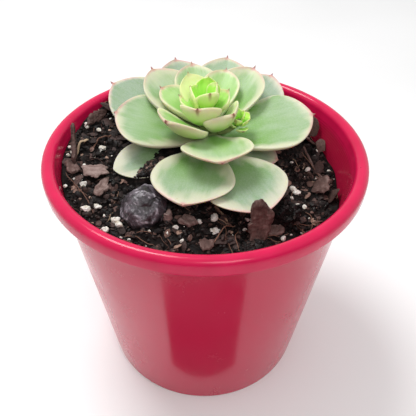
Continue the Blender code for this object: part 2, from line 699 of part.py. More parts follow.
def make_pebble():
    size = (PEBBLE_LENGTH, PEBBLE_WIDTH, PEBBLE_HEIGHT)
    return make_lump("pebble", "pebble", PEBBLE_AZIMUTH, PEBBLE_INSET, size, PEBBLE_TURN, PEBBLE_SINK, 0.08)


def make_clump():
    size = (CLUMP_LENGTH, CLUMP_WIDTH, CLUMP_HEIGHT)
    return make_lump("peat_clump", "clump", CLUMP_AZIMUTH, CLUMP_INSET, size, CLUMP_TURN, CLUMP_SINK, 0.2)


def make_perlite():
    grains = []
    for number, (azimuth, inset, diameter) in enumerate(PERLITE, 1):
        name = f"perlite_{number}"
        size = (diameter * MM, diameter * 0.85 * MM, diameter * 0.8 * MM)
        grain = add_object(name, lumpy_ball(name, size, number, 1, 0.12), "perlite")
        grain.location = bedded_place(azimuth, inset * MM, size[2], PERLITE_SINK)
        grains.append(grain)
    return grains


def make_twig():
    """A bare twig lying on the mix, slightly bent and thinner at one end."""
    height = 2.0 * TWIG_RADIUS
    start = bedded_place(TWIG_START[0], TWIG_START[1] * MM, height, TWIG_SINK)
    end = bedded_place(TWIG_END[0], TWIG_END[1] * MM, height, TWIG_SINK)
    upright = Vector((0.0, 0.0, 1.0))
    across = (end - start).cross(upright).normalized()
    rings = []
    for k in range(TWIG_STATIONS):
        share = k / (TWIG_STATIONS - 1)
        centre = start.lerp(end, share) + across * TWIG_BEND * (end - start).length * math.sin(math.pi * share)
        centre.z = soil_height(centre.x, centre.y) + height * (0.5 - TWIG_SINK)
        centre -= start
        radius = TWIG_RADIUS * (1.0 - 0.35 * share)
        turns = [2.0 * math.pi * j / TWIG_SIDES for j in range(TWIG_SIDES)]
        rings.append([centre + (across * math.cos(t) + upright * math.sin(t)) * radius for t in turns])
    twig = add_object("twig", lofted_mesh("twig", rings), "bark")
    twig.location = start
    return twig


def main():
    clear_scene()
    make_pot()
    soil = make_soil()
    rosette = add_axis("rosette_axis", (STEM_X, STEM_Y, soil_height(STEM_X, STEM_Y)))
    stem = make_stem(rosette)
    leaves = make_leaves(rosette)
    offset_stem, offset_leaves = make_offset(rosette)
    chips = [make_chip(chip) for chip in CHIPS]
    pebble = make_pebble()
    clump = make_clump()
    perlite = make_perlite()
    twig = make_twig()
    bpy.context.view_layer.update()

    # Each leaf gives way to the ones above it, what lies in the mix to the plant, and the mix to everything.
    litter = [pebble, clump, *chips, twig, *perlite]
    offset = [offset_stem, *offset_leaves]
    carved = {}
    for number, leaf in enumerate(offset_leaves):
        carved[leaf] = make_room(leaf, [offset_stem, *offset_leaves[number + 1 :]])
    for number, leaf in enumerate(leaves):
        carved[leaf] = make_room(leaf, [stem, *leaves[number + 1 :], *offset])
    for number, piece in enumerate(litter):
        carved[piece] = make_room(piece, [*leaves, *litter[:number]])
    carved[soil] = make_room(soil, [stem, *leaves, *litter])
    for piece, mesh in carved.items():
        piece.data = mesh


main()
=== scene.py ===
import math
import random
from collections import namedtuple

import bpy
import bmesh
import numpy as np
from mathutils import Matrix, Vector, noise
from mathutils.bvhtree import BVHTree


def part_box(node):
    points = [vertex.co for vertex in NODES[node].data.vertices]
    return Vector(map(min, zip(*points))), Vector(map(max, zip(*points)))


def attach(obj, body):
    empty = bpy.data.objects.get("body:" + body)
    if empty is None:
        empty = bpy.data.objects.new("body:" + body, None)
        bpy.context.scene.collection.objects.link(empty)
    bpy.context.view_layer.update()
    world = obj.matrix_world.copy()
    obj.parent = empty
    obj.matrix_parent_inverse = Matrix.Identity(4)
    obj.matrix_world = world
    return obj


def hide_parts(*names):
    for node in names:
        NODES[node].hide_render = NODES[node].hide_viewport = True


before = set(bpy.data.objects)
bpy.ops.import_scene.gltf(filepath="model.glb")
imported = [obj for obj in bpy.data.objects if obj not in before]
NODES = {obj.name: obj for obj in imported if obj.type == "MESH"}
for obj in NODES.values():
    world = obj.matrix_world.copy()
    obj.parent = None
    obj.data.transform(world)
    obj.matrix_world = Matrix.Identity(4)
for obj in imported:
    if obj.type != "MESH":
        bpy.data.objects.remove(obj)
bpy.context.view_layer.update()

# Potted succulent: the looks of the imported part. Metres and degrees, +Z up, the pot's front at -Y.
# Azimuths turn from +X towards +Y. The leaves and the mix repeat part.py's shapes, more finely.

MM = 0.001
UP = Vector((0.0, 0.0, 1.0))
DOWN = -UP
FULL_TURN = 2.0 * math.pi

# ---- Node trees ----


class Graph:
    """A node tree, with short ways to add its nodes."""

    def __init__(self, tree):
        self.tree = tree
        self.object_place = None

    def put(self, socket, value):
        if isinstance(value, bpy.types.NodeSocket):
            self.tree.links.new(value, socket)
        elif isinstance(value, tuple) and len(value) == 3 and socket.type == "RGBA":
            socket.default_value = (*value, 1.0)
        else:
            socket.default_value = value

    def node(self, kind, inputs=None, **settings):
        made = self.tree.nodes.new("ShaderNode" + kind)
        for key, value in settings.items():
            setattr(made, key, value)
        for key, value in (inputs or {}).items():
            self.put(made.inputs[key], value)
        return made

    def place(self):
        """Object coordinates, in metres."""
        if self.object_place is None:
            self.object_place = self.node("TexCoord").outputs["Object"]
        return self.object_place

    def attribute(self, name, output="Vector"):
        return self.node("Attribute", attribute_name=name).outputs[output]

    def split(self, vector):
        return self.node("SeparateXYZ", {"Vector": vector}).outputs

    def math(self, operation, a, b=0.0, clamp=False):
        return self.node("Math", {0: a, 1: b}, operation=operation, use_clamp=clamp).outputs[0]

    def times(self, a, b):
        return self.math("MULTIPLY", a, b)

    def about_middle(self, value, amount):
        """What a value from 0 to 1 is over or under its middle, times this amount."""
        return self.times(self.math("SUBTRACT", value, 0.5), amount)

    def stretched(self, vector, factors):
        return self.node("VectorMath", {0: vector, 1: factors}, operation="MULTIPLY").outputs[0]

    def noise(self, size, detail=3.0, vector=None, rough=0.5, distortion=0.0):
        """Noise from 0 to 1 whose features are about this size."""
        inputs = {"Vector": vector or self.place(), "Scale": 1.0 / size, "Detail": detail}
        inputs.update({"Roughness": rough, "Distortion": distortion})
        return self.node("TexNoise", inputs).outputs["Fac"]

    def streaks(self, vector, factors, detail, rough=0.5, distortion=0.0):
        """Noise drawn out along some axes: as many features in a metre along each as its factor says."""
        return self.noise(1.0, detail, self.stretched(vector, factors), rough, distortion)

    def cells(self, size, vector=None):
        """The distance to the nearest of scattered places, in cells of this size."""
        inputs = {"Vector": vector or self.place(), "Scale": 1.0 / size}
        return self.node("TexVoronoi", inputs).outputs["Distance"]

    def ease(self, value, start, end, low=0.0, high=1.0):
        """A smooth step of value from low at start to high at end."""
        inputs = {"Value": value, "From Min": start, "From Max": end, "To Min": low, "To Max": high}
        return self.node("MapRange", inputs, interpolation_type="SMOOTHSTEP").outputs["Result"]

    def mix(self, share, first, second):
        made = self.node("Mix", data_type="RGBA")
        for number, value in ((0, share), (6, first), (7, second)):
            self.put(made.inputs[number], value)
        return made.outputs[2]

    def ramp(self, value, *stops):
        """Colour stops of (place, (r, g, b))."""
        made = self.node("ValToRGB", {"Fac": value})
        bar = made.color_ramp
        while len(bar.elements) < len(stops):
            bar.elements.new(0.5)
        for element, (at, colour) in zip(bar.elements, stops):
            element.position = at
            element.color = (*colour, 1.0)
        return made.outputs["Color"]


class Look(Graph):
    """A material's node tree."""

    def __init__(self, name, specular=0.5):
        self.material = bpy.data.materials.new(name)
        self.material.use_nodes = True
        super().__init__(self.material.node_tree)
        self.shader = self.tree.nodes["Principled BSDF"]
        self.set_inputs(Specular_IOR_Level=specular)

    def set_inputs(self, **values):
        """Values or sockets for the shader's own inputs."""
        for key, value in values.items():
            self.put(self.shader.inputs[key.replace("_", " ")], value)

    def finish(self, colour, roughness, bump=None, bump_height=0.1 * MM, strength=1.0):
        self.set_inputs(Base_Color=colour, Roughness=roughness)
        if bump is not None:
            inputs = {"Height": bump, "Distance": bump_height, "Strength": strength}
            self.set_inputs(Normal=self.node("Bump", inputs).outputs["Normal"])
        return self.material


# ---- Materials ----


def pot_material():
    """Glossy plastic. The wall below the lip carries painted shade, so it is darker than the lip, and it is
    more hazed than the lip.
    """
    g = Look("glossy_pot_plastic")
    flow = g.noise(9 * MM, 2.0, g.stretched(g.place(), (1.0, 1.0, 0.35)))
    colour = g.ramp(flow, (0.25, (0.56, 0.007, 0.062)), (0.75, (0.65, 0.009, 0.078)))
    specks = g.math("LESS_THAN", g.cells(5.2 * MM), 0.045)
    dusty = g.times(specks, g.math("GREATER_THAN", g.noise(22 * MM, 1.0), 0.52))
    colour = g.mix(dusty, colour, (0.16, 0.012, 0.02))
    lip_bottom = POT_HEIGHT - LIP_DROP
    in_lip = g.ease(g.split(g.place())[2], lip_bottom - 1 * MM, lip_bottom + 1 * MM)
    # Painted shade: below the lip the colour is mixed towards a darker red; the lip keeps the plain plastic
    # colour.
    colour = g.mix(in_lip, g.mix(0.8, colour, (0.50, 0.010, 0.050)), colour)
    haze = g.math("ADD", g.noise(26 * MM), g.times(g.noise(1.1 * MM, 4.0), 0.25))
    specular = g.math("ADD", 0.45, g.times(in_lip, 0.22 - 0.45))
    g.set_inputs(Specular_IOR_Level=specular, Coat_Weight=0.15, Coat_Roughness=0.08)
    return g.finish(colour, g.ease(haze, 0.35, 0.95, 0.15, 0.30), g.noise(2.6 * MM), 0.02 * MM, 0.35)


def leaf_material():
    """Variegated, waxy leaf.

    leaf_where is (from the edge, along, from the tip), leaf_what is (youth, under, margin) and leaf_flat is
    the place in the flattened leaf.
    """
    g = Look("variegated_leaf", 0.42)
    edge, along, tip = g.split(g.attribute("leaf_where"))
    youth, under, margin = g.split(g.attribute("leaf_what"))
    flat = g.attribute("leaf_flat")
    across = g.math("ABSOLUTE", g.split(flat)[1])
    streak = g.streaks(flat, (70.0, 520.0, 1.0), 3.0, 0.6)
    drift = g.streaks(flat, (55.0, 95.0, 1.0), 2.0)
    blotch = g.noise(7 * MM, 2.0, flat)
    grain = g.noise(0.55 * MM, 3.0, flat, 0.65)
    wobble = g.math("ADD", g.about_middle(blotch, 2.6 * MM), g.about_middle(streak, 2.6 * MM))
    own_margin = g.times(margin, g.ease(drift, 0.30, 0.70, 0.40, 1.25))
    inward = g.math("DIVIDE", g.math("ADD", edge, wobble), own_margin)
    green_part = g.ease(inward, -0.05, 1.60)

    reach = g.math("ADD", along, g.about_middle(drift, 0.5))
    # The older leaves darken towards their base: partly their own deeper green, partly painted shade where
    # the rosette crowds them.
    old_green = g.mix(g.ease(reach, 0.30, 0.78), (0.140, 0.300, 0.055), (0.275, 0.375, 0.245))
    young_green = g.mix(g.ease(reach, 0.0, 0.85), (0.230, 0.700, 0.008), (0.540, 0.900, 0.150))
    green = g.mix(youth, old_green, young_green)
    darker = g.mix(youth, (0.180, 0.310, 0.120), (0.270, 0.700, 0.025))
    green = g.mix(g.times(g.ease(streak, 0.42, 0.72), 0.45), green, darker)
    paler = g.mix(youth, (0.370, 0.460, 0.370), (0.560, 0.880, 0.240))
    green = g.mix(g.times(g.ease(drift, 0.45, 0.75), 0.45), green, paler)
    beneath = g.mix(g.ease(along, 0.3, 0.95), (0.400, 0.660, 0.070), (0.680, 0.840, 0.330))
    green = g.mix(g.times(under, 0.8), green, beneath)
    cream = g.mix(youth, (0.580, 0.550, 0.430), (0.880, 0.960, 0.430))
    cream = g.mix(g.times(grain, 0.25), cream, (0.660, 0.720, 0.440))
    colour = g.mix(green_part, cream, green)

    older = g.math("SUBTRACT", 1.0, youth, clamp=True)
    blush = g.times(g.ease(edge, 1.8 * MM, 0.1 * MM), g.ease(tip, 20 * MM, 3 * MM))
    blush = g.times(blush, g.ease(blotch, 0.25, 0.60))
    colour = g.mix(g.times(g.times(blush, older), 0.75), colour, (0.700, 0.330, 0.350))
    pinkness = g.times(g.ease(tip, 2.2 * MM, 0.4 * MM), g.ease(older, 0.0, 0.5, 0.10, 0.55))
    colour = g.mix(pinkness, colour, (0.560, 0.170, 0.160))
    keel_mark = g.times(g.ease(across, 1.1 * MM, 0.2 * MM), g.ease(tip, 4.5 * MM, 0.3 * MM))
    colour = g.mix(g.times(g.times(keel_mark, under), 0.75), colour, (0.250, 0.150, 0.070))
    colour = g.mix(g.times(g.ease(tip, 0.5 * MM, -0.7 * MM), 0.85), colour, (0.260, 0.070, 0.068))
    freckles = g.math("LESS_THAN", g.cells(3.4 * MM, flat), 0.07)
    freckles = g.times(freckles, g.math("GREATER_THAN", g.noise(13 * MM, 1.0, flat), 0.62))
    colour = g.mix(g.times(freckles, 0.45), colour, (0.36, 0.16, 0.07))
    bloom = g.times(g.ease(grain, 0.35, 0.8), g.ease(older, 0.0, 1.0, 0.02, 0.20))
    colour = g.mix(bloom, colour, (0.60, 0.67, 0.66))
    relief = g.math("ADD", g.times(streak, 0.6), g.times(grain, 0.5))
    g.set_inputs(Subsurface_Weight=0.25, Subsurface_Scale=1.8 * MM, Subsurface_Radius=(0.8, 1.0, 0.30))
    g.set_inputs(Sheen_Weight=0.06)
    return g.finish(colour, g.ease(grain, 0.2, 0.9, 0.36, 0.54), relief, 0.06 * MM, 0.5)


def stem_material():
    g = Look("fleshy_stem")
    rings = g.streaks(g.place(), (90.0, 90.0, 700.0), 2.0)
    colour = g.ramp(rings, (0.3, (0.13, 0.20, 0.05)), (0.55, (0.26, 0.33, 0.12)), (0.75, (0.22, 0.15, 0.08)))
    return g.finish(colour, g.ease(rings, 0.2, 0.8, 0.45, 0.7), rings, 0.15 * MM)


def soil_material():
    g = Look("moist_potting_mix", 0.2)
    lumps = g.noise(2.2 * MM, 5.0, rough=0.65)
    # Partly the mix's own mottled brown-black, partly painted light: the gaps stop paints shade between lumps
    # and the tops stop paints light on their tops.
    gaps, body, tops = (0.0016, 0.0012, 0.0011), (0.0090, 0.0056, 0.0048), (0.050, 0.027, 0.021)
    wet = g.ease(g.noise(5.5 * MM, 2.0), 0.45, 0.70, 0.92, 0.50)
    colour = g.ramp(lumps, (0.36, gaps), (0.58, body), (0.80, tops))
    return g.finish(colour, wet, g.noise(0.8 * MM, 4.0, rough=0.7), 0.5 * MM)


def litter_material(name, stops, roughest, smoothest):
    """Bits with their own shade each, from the attribute shade, 0 to 1, along these colour stops."""
    g = Look(name, 0.4)
    mottle = g.noise(0.7 * MM, 4.0, rough=0.65)
    value = g.math("ADD", g.attribute("shade", "Fac"), g.about_middle(mottle, 0.55), clamp=True)
    return g.finish(g.ramp(value, *stops), g.ease(mottle, 0.3, 0.7, roughest, smoothest), mottle, 0.22 * MM)


def bark_material():
    g = Look("weathered_bark", 0.35)
    layers = g.streaks(g.attribute("grain_place"), (160.0, 620.0, 900.0), 5.0, 0.62)
    mottle = g.noise(2.4 * MM, 4.0, rough=0.6)
    value = g.math("ADD", g.times(layers, 0.7), g.times(mottle, 0.45))
    value = g.math("ADD", value, g.math("SUBTRACT", g.attribute("shade", "Fac"), 0.55), clamp=True)
    colour = g.ramp(
        value,
        (0.12, (0.008, 0.005, 0.004)),
        (0.38, (0.040, 0.020, 0.017)),
        (0.62, (0.115, 0.064, 0.054)),
        (0.90, (0.290, 0.205, 0.185)),
    )
    return g.finish(colour, g.ease(mottle, 0.3, 0.7, 0.9, 0.55), layers, 0.45 * MM)


def pebble_material():
    g = Look("streaked_pebble")
    warp = g.noise(8 * MM, 3.0, distortion=1.2)
    veins = g.streaks(g.place(), (170.0, 240.0, 150.0), 5.0, 0.68, 2.4)
    dark, middle, light = (0.008, 0.007, 0.008), (0.060, 0.052, 0.060), (0.190, 0.165, 0.190)
    colour = g.ramp(warp, (0.34, dark), (0.50, middle), (0.72, light))
    pale = g.times(g.ease(veins, 0.50, 0.66), g.ease(warp, 0.38, 0.58))
    colour = g.mix(g.times(pale, 0.85), colour, (0.56, 0.52, 0.57))
    dirt = g.ease(g.noise(1.4 * MM, 4.0), 0.58, 0.68)
    colour = g.mix(g.times(dirt, 0.6), colour, (0.020, 0.013, 0.010))
    return g.finish(colour, g.ease(veins, 0.35, 0.7, 0.26, 0.55), g.noise(1.2 * MM, 5.0), 0.25 * MM)


def perlite_material():
    g = Look("perlite_grain", 0.3)
    pits = g.cells(0.7 * MM)
    tint = g.noise(1.5 * MM)
    colour = g.ramp(tint, (0.30, (0.50, 0.44, 0.34)), (0.50, (0.78, 0.75, 0.68)), (0.80, (0.86, 0.85, 0.82)))
    colour = g.mix(g.ease(pits, 0.30, 0.05, 0.0, 0.45), colour, (0.34, 0.29, 0.22))
    return g.finish(colour, g.ease(tint, 0.2, 0.8, 0.85, 0.95), pits, 0.25 * MM)


def cloudy_material(name, specular, size, dark, light, rough, rougher):
    """A plain surface that drifts between two colours."""
    g = Look(name, specular)
    cloud = g.noise(size, 2.0)
    return g.finish(g.ramp(cloud, (0.3, dark), (0.7, light)), g.ease(cloud, 0.2, 0.8, rough, rougher))


LEAF = leaf_material()
STEM = stem_material()
SOIL = soil_material()
BARK = bark_material()
PEBBLE = pebble_material()
PERLITE = perlite_material()
CRUMB_STOPS = (
    (0.15, (0.0018, 0.0013, 0.0012)),
    (0.50, (0.011, 0.0065, 0.0055)),
    (0.75, (0.060, 0.032, 0.025)),
    (1.0, (0.24, 0.15, 0.12)),
)
FLAKE_STOPS = (
    (0.10, (0.010, 0.006, 0.005)),
    (0.45, (0.050, 0.026, 0.022)),
    (0.75, (0.15, 0.080, 0.064)),
    (1.0, (0.42, 0.27, 0.20)),
)
FIBRE_STOPS = ((0.10, (0.07, 0.030, 0.022)), (0.60, (0.26, 0.13, 0.085)), (1.0, (0.55, 0.42, 0.27)))
CRUMB = litter_material("peat_crumbs", CRUMB_STOPS, 0.85, 0.35)
FLAKE = litter_material("bark_flakes", FLAKE_STOPS, 0.9, 0.5)
FIBRE = litter_material("root_fibres", FIBRE_STOPS, 0.8, 0.5)

# ---- Meshes ----


def new_object(name, data):
    made = bpy.data.objects.new(name, data)
    bpy.context.scene.collection.objects.link(made)
    return made


def add_piece(name, mesh, material, replaced=()):
    """A finished piece, riding on the one body."""
    obj = new_object(name, mesh)
    mesh.materials.clear()
    mesh.materials.append(material)
    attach(obj, "root")
    if replaced:
        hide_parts(*replaced)
    return obj


def shade_smoothly(mesh, sharp_from):
    """Smooth shading, but for edges that turn more than this angle; 180 leaves none sharp."""
    mesh.shade_smooth()
    if sharp_from < 180:
        mesh.set_sharp_from_angle(angle=math.radians(sharp_from))


def mesh_from(name, points, faces, sharp_from=180):
    mesh = bpy.data.meshes.new(name)
    mesh.from_pydata([tuple(p) for p in points], [], [tuple(f) for f in faces])
    maker = bmesh.new()
    maker.from_mesh(mesh)
    bmesh.ops.recalc_face_normals(maker, faces=maker.faces)
    maker.to_mesh(mesh)
    maker.free()
    shade_smoothly(mesh, sharp_from)
    return mesh


def write_numbers(mesh, name, values):
    mesh.attributes.new(name, "FLOAT", "POINT").data.foreach_set("value", np.asarray(values, np.float32))


def write_vectors(mesh, name, values):
    flat = np.asarray(values, np.float32).ravel()
    mesh.attributes.new(name, "FLOAT_VECTOR", "POINT").data.foreach_set("vector", flat)


def band_faces(rows, sides, closed_start=True):
    """Faces between rows of points that go round, with a cap at the end and, if asked for, at the start."""
    faces = []
    for row in range(rows - 1):
        for k in range(sides):
            after = (k + 1) % sides
            near, far = row * sides, (row + 1) * sides
            faces.append((near + k, near + after, far + after, far + k))
    if closed_start:
        faces.append(tuple(range(sides)))
    faces.append(tuple(range((rows - 1) * sides, rows * sides)))
    return faces


def on_circle(radius, degrees, height=0.0):
    turn = math.radians(degrees)
    return Vector((radius * math.cos(turn), radius * math.sin(turn), height))


# ---- Pot ----

_, pot_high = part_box("pot")
POT_HEIGHT = pot_high.z
RIM_RADIUS = pot_high.x
FOOT_RADIUS = 50.0 * MM
WALL = 1.4 * MM
LIP_WIDTH = 5.8 * MM
LIP_DROP = 7.2 * MM
FOOT_RING_WIDTH = 3.2 * MM
FOOT_RING_HEIGHT = 3.0 * MM
FOOT_ROUND = 1.0 * MM
FLOOR_THICKNESS = 1.8 * MM
POT_SEGMENTS = 216
DRAIN_SLOTS = 8
SLOT_SEGMENTS = 9
SLOT_WIDTH = 3.6 * MM
SLOT_INSET = 5.0 * MM
RIDGE = 0.10 * MM  # height of the fine turned ridges inside and just under the lip
RIDGE_SPACING = 1.25 * MM
RIDGES_FROM = POT_HEIGHT - 26.0 * MM  # how high the ridges inside begin
COLLAR_RIDGE_GAIN = 1.6  # how much deeper the ridges under the lip are than those inside
LIP_EDGE = 0.55 * MM  # the rounding of the lip's lower edge
POT = pot_material()


def wall_outside(height):
    collar_radius = RIM_RADIUS - LIP_WIDTH + WALL
    return FOOT_RADIUS + (collar_radius - FOOT_RADIUS) * height / POT_HEIGHT


def wall_inside(height):
    return wall_outside(height) - WALL


def arc(centre_r, centre_z, radius, start, end, steps):
    """Points along an arc, as (radius, height), from the start to the end angle in degrees."""
    turns = [math.radians(start + (end - start) * k / steps) for k in range(steps + 1)]
    return [(centre_r + radius * math.cos(t), centre_z + radius * math.sin(t)) for t in turns]


def ridged(radius_at, low, high, outwards):
    """A wall from low to high with turned ridges, as (radius, height) points."""
    count = max(4, int(round((high - low) / (RIDGE_SPACING / 4))))
    points = []
    for k in range(count + 1):
        height = low + (high - low) * k / count
        swell = 0.5 - 0.5 * math.cos(FULL_TURN * (height - low) / RIDGE_SPACING)
        points.append((radius_at(height) + outwards * RIDGE * swell, height))
    return points


def pot_outline():
    """The pot's section, as (radius, height) points, from the foot over the lip to the floor inside."""
    lip_centre = RIM_RADIUS - LIP_WIDTH / 2
    lip_round = LIP_WIDTH / 2
    lip_bottom = POT_HEIGHT - LIP_DROP
    shoulder = POT_HEIGHT - lip_round
    floor_top = FOOT_RING_HEIGHT + FLOOR_THICKNESS
    outline = [(FOOT_RADIUS - FOOT_RING_WIDTH, 0.0)]
    outline += arc(FOOT_RADIUS - FOOT_ROUND, FOOT_ROUND, FOOT_ROUND, -90, 0, 6)
    outline += [(wall_outside(h), h) for h in np.linspace(0.012, lip_bottom - 6.5 * MM, 10)]
    outline += ridged(wall_outside, lip_bottom - 6.0 * MM, lip_bottom - 1.0 * MM, COLLAR_RIDGE_GAIN)
    outline += [(wall_outside(lip_bottom), lip_bottom)]
    outline += arc(lip_centre, shoulder, lip_round - WALL, 180, 0, 10)
    outline += arc(RIM_RADIUS - 0.75 * MM, lip_bottom + 0.35 * MM, LIP_EDGE, 200, 350, 8)
    outline += [(RIM_RADIUS - 0.12 * MM, lip_bottom + 0.9 * MM), (RIM_RADIUS, lip_bottom + LIP_DROP * 0.4)]
    outline += arc(lip_centre, shoulder, lip_round, 0, 180, 28)
    outline += reversed(ridged(wall_inside, RIDGES_FROM, lip_bottom + 2.0 * MM, -1))
    below = np.linspace(RIDGES_FROM - 2 * MM, floor_top + FLOOR_THICKNESS, 8)
    outline += [(wall_inside(h), h) for h in below]
    outline += [(wall_inside(floor_top) - FLOOR_THICKNESS, floor_top)]
    return outline


def make_pot():
    """The outline turned about Z, with slots left open in the raised floor."""
    floor_top = FOOT_RING_HEIGHT + FLOOR_THICKNESS
    slot_outer = FOOT_RADIUS - FOOT_RING_WIDTH - SLOT_INSET
    slot_inner = slot_outer - SLOT_WIDTH
    spacing = POT_SEGMENTS // DRAIN_SLOTS
    points, faces = [], []

    def ring(radius, height):
        first = len(points)
        points.extend(on_circle(radius, 360.0 * k / POT_SEGMENTS, height) for k in range(POT_SEGMENTS))
        return first

    def band(one, two, skip=lambda k: False):
        for k in range(POT_SEGMENTS):
            if not skip(k):
                after = (k + 1) % POT_SEGMENTS
                faces.append((one + k, one + after, two + after, two + k))

    def slotted(k):
        return k % POT_SEGMENTS % spacing < SLOT_SEGMENTS

    walls = [ring(r, z) for r, z in pot_outline()]
    top = [walls[-1], ring(slot_outer, floor_top), ring(slot_inner, floor_top)]
    reaches = (FOOT_RADIUS - FOOT_RING_WIDTH, slot_outer, slot_inner)
    under = [walls[0]] + [ring(radius, FOOT_RING_HEIGHT) for radius in reaches]
    for one, two in zip(walls, walls[1:]):
        band(one, two)
    band(top[0], top[1])
    band(top[1], top[2], slotted)
    band(under[0], under[1])
    band(under[1], under[2])
    band(under[2], under[3], slotted)
    band(top[1], under[2], lambda k: not slotted(k))
    band(top[2], under[3], lambda k: not slotted(k))
    for k in range(POT_SEGMENTS):
        if slotted(k) != slotted(k - 1):
            faces.append((top[1] + k, top[2] + k, under[3] + k, under[2] + k))
    for inner, height in ((top[2], floor_top), (under[3], FOOT_RING_HEIGHT)):
        points.append(Vector((0.0, 0.0, height)))
        for k in range(POT_SEGMENTS):
            faces.append((inner + k, inner + (k + 1) % POT_SEGMENTS, len(points) - 1))
    add_piece("pot_shell", mesh_from("pot_shell", points, faces, 50), POT, ["pot"])


make_pot()

# ---- Potting mix ----

SOIL_DROP = 17.5 * MM
SOIL_RISE_TO_LEFT = 0.09
SOIL_RISE_TO_BACK = 0.13
SOIL_MOUND = 3.0 * MM
SOIL_MOUND_SPREAD = 24.0 * MM
SOIL_BANK = 5.0 * MM
SOIL_BANK_AZIMUTH = 143.0
SOIL_LUMP = 0.9 * MM
SOIL_LUMP_LENGTH = 17.0 * MM
CLEARANCE = 0.3 * MM

stem_low, stem_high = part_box("stem")
STEM_X = (stem_low.x + stem_high.x) / 2
STEM_Y = (stem_low.y + stem_high.y) / 2
STEM_RADIUS = 4.6 * MM
STEM_TIP_RADIUS = 1.1 * MM
STEM_HEIGHT = 24.0 * MM
STEM_LEAN = 2.8 * MM
SCAR_DEPTH = 0.16 * MM
SCAR_SPACING = 2.4 * MM
SCAR_STEPS = 33
ROOT_DEPTH = 16.0 * MM
ROOT_RADIUS = 2.2 * MM
ROSETTE = Vector((STEM_X, STEM_Y, stem_low.z + ROOT_DEPTH))


def soil_height(x, y):
    """The height of part.py's mix here."""
    level = POT_HEIGHT - SOIL_DROP - SOIL_RISE_TO_LEFT * x + SOIL_RISE_TO_BACK * y
    from_stem = math.hypot(x - STEM_X, y - STEM_Y)
    mound = SOIL_MOUND * math.exp(-((from_stem / SOIL_MOUND_SPREAD) ** 2))
    wave = FULL_TURN / SOIL_LUMP_LENGTH
    lumps = SOIL_LUMP * math.sin(wave * x + 1.0) * math.sin(wave * y * 0.8 + 2.0)
    outwards = math.hypot(x, y) / wall_inside(POT_HEIGHT - SOIL_DROP)
    towards_bank = 0.5 + 0.5 * math.cos(math.atan2(y, x) - math.radians(SOIL_BANK_AZIMUTH))
    return level + mound + lumps + SOIL_BANK * towards_bank * min(outwards, 1.0) ** 4


def soil_edge(azimuth):
    """The radius and the height at which the mix meets the pot's wall."""
    radius = wall_inside(POT_HEIGHT - SOIL_DROP) - CLEARANCE
    for _ in range(6):
        point = on_circle(radius, azimuth)
        height = min(soil_height(point.x, point.y), POT_HEIGHT - LIP_WIDTH)
        radius = wall_inside(height) - CLEARANCE
    return radius, height


# The relief of the mix: for each lump its size and height, in millimetres, and a shift of the noise.
SOIL_RELIEF = ((6.5, 0.9, (0, 0, 0)), (2.6, 0.65, (7, 3, 1)), (1.1, 0.35, (1, 9, 4)))
SOIL_PIT_LENGTH = 3.1 * MM
SOIL_PIT_DEPTH = 0.4  # this and the next in millimetres
SOIL_SINK = 0.25


def rough_height(x, y):
    """The mix's surface with its crumbly relief."""
    here = Vector((x, y, 0.0))
    lumps = [height * noise.noise(here / (size * MM) + Vector(shift)) for size, height, shift in SOIL_RELIEF]
    pits = SOIL_PIT_DEPTH * noise.cell(here / SOIL_PIT_LENGTH)
    return soil_height(x, y) + (sum(lumps) - pits - SOIL_SINK) * MM


# ---- Plant ----

LEAF_THICKNESS = 4.2 * MM
LEAF_THICKNESS_AT = 45.0 * MM
LEAF_THINNING = 0.35
LEAF_LEAST_THICKNESS = 1.7 * MM
LEAF_WIDEST = 0.64
LEAF_BASE_SHARE = 0.30
INNER_FLESH = 0.35
RIM_ROUNDNESS = 0.62
BLUNT_SPIKE = 0.2  # a leaf with a shorter spike than this has no coloured tip
BLUNT_REACH = 30.0 * MM
UPPER_SHARE = 0.38  # how much of a leaf's thickness lies above its middle surface
TIP_TAPER = 2.2 * MM  # how near its end a leaf thins
LEAF_WAVINESS = 0.018
# Depths against the leaf's thickness and widths against its half width.
KEEL_DEPTH, KEEL_WIDTH = 0.16, 0.25
GROOVE_DEPTH, GROOVE_WIDTH = 0.10, 0.16
SPIKE_ROWS = 6
SPIKE_LIFT = 14.0  # how much more steeply the spike stands than the tip
LEAF_GRID = (44, 36)  # stations along the leaf and points round it
SMALL_LEAF_GRID = (30, 28)
OFFSET_LEAF_GRID = (22, 20)
SMALL_LEAF_LENGTH = 20

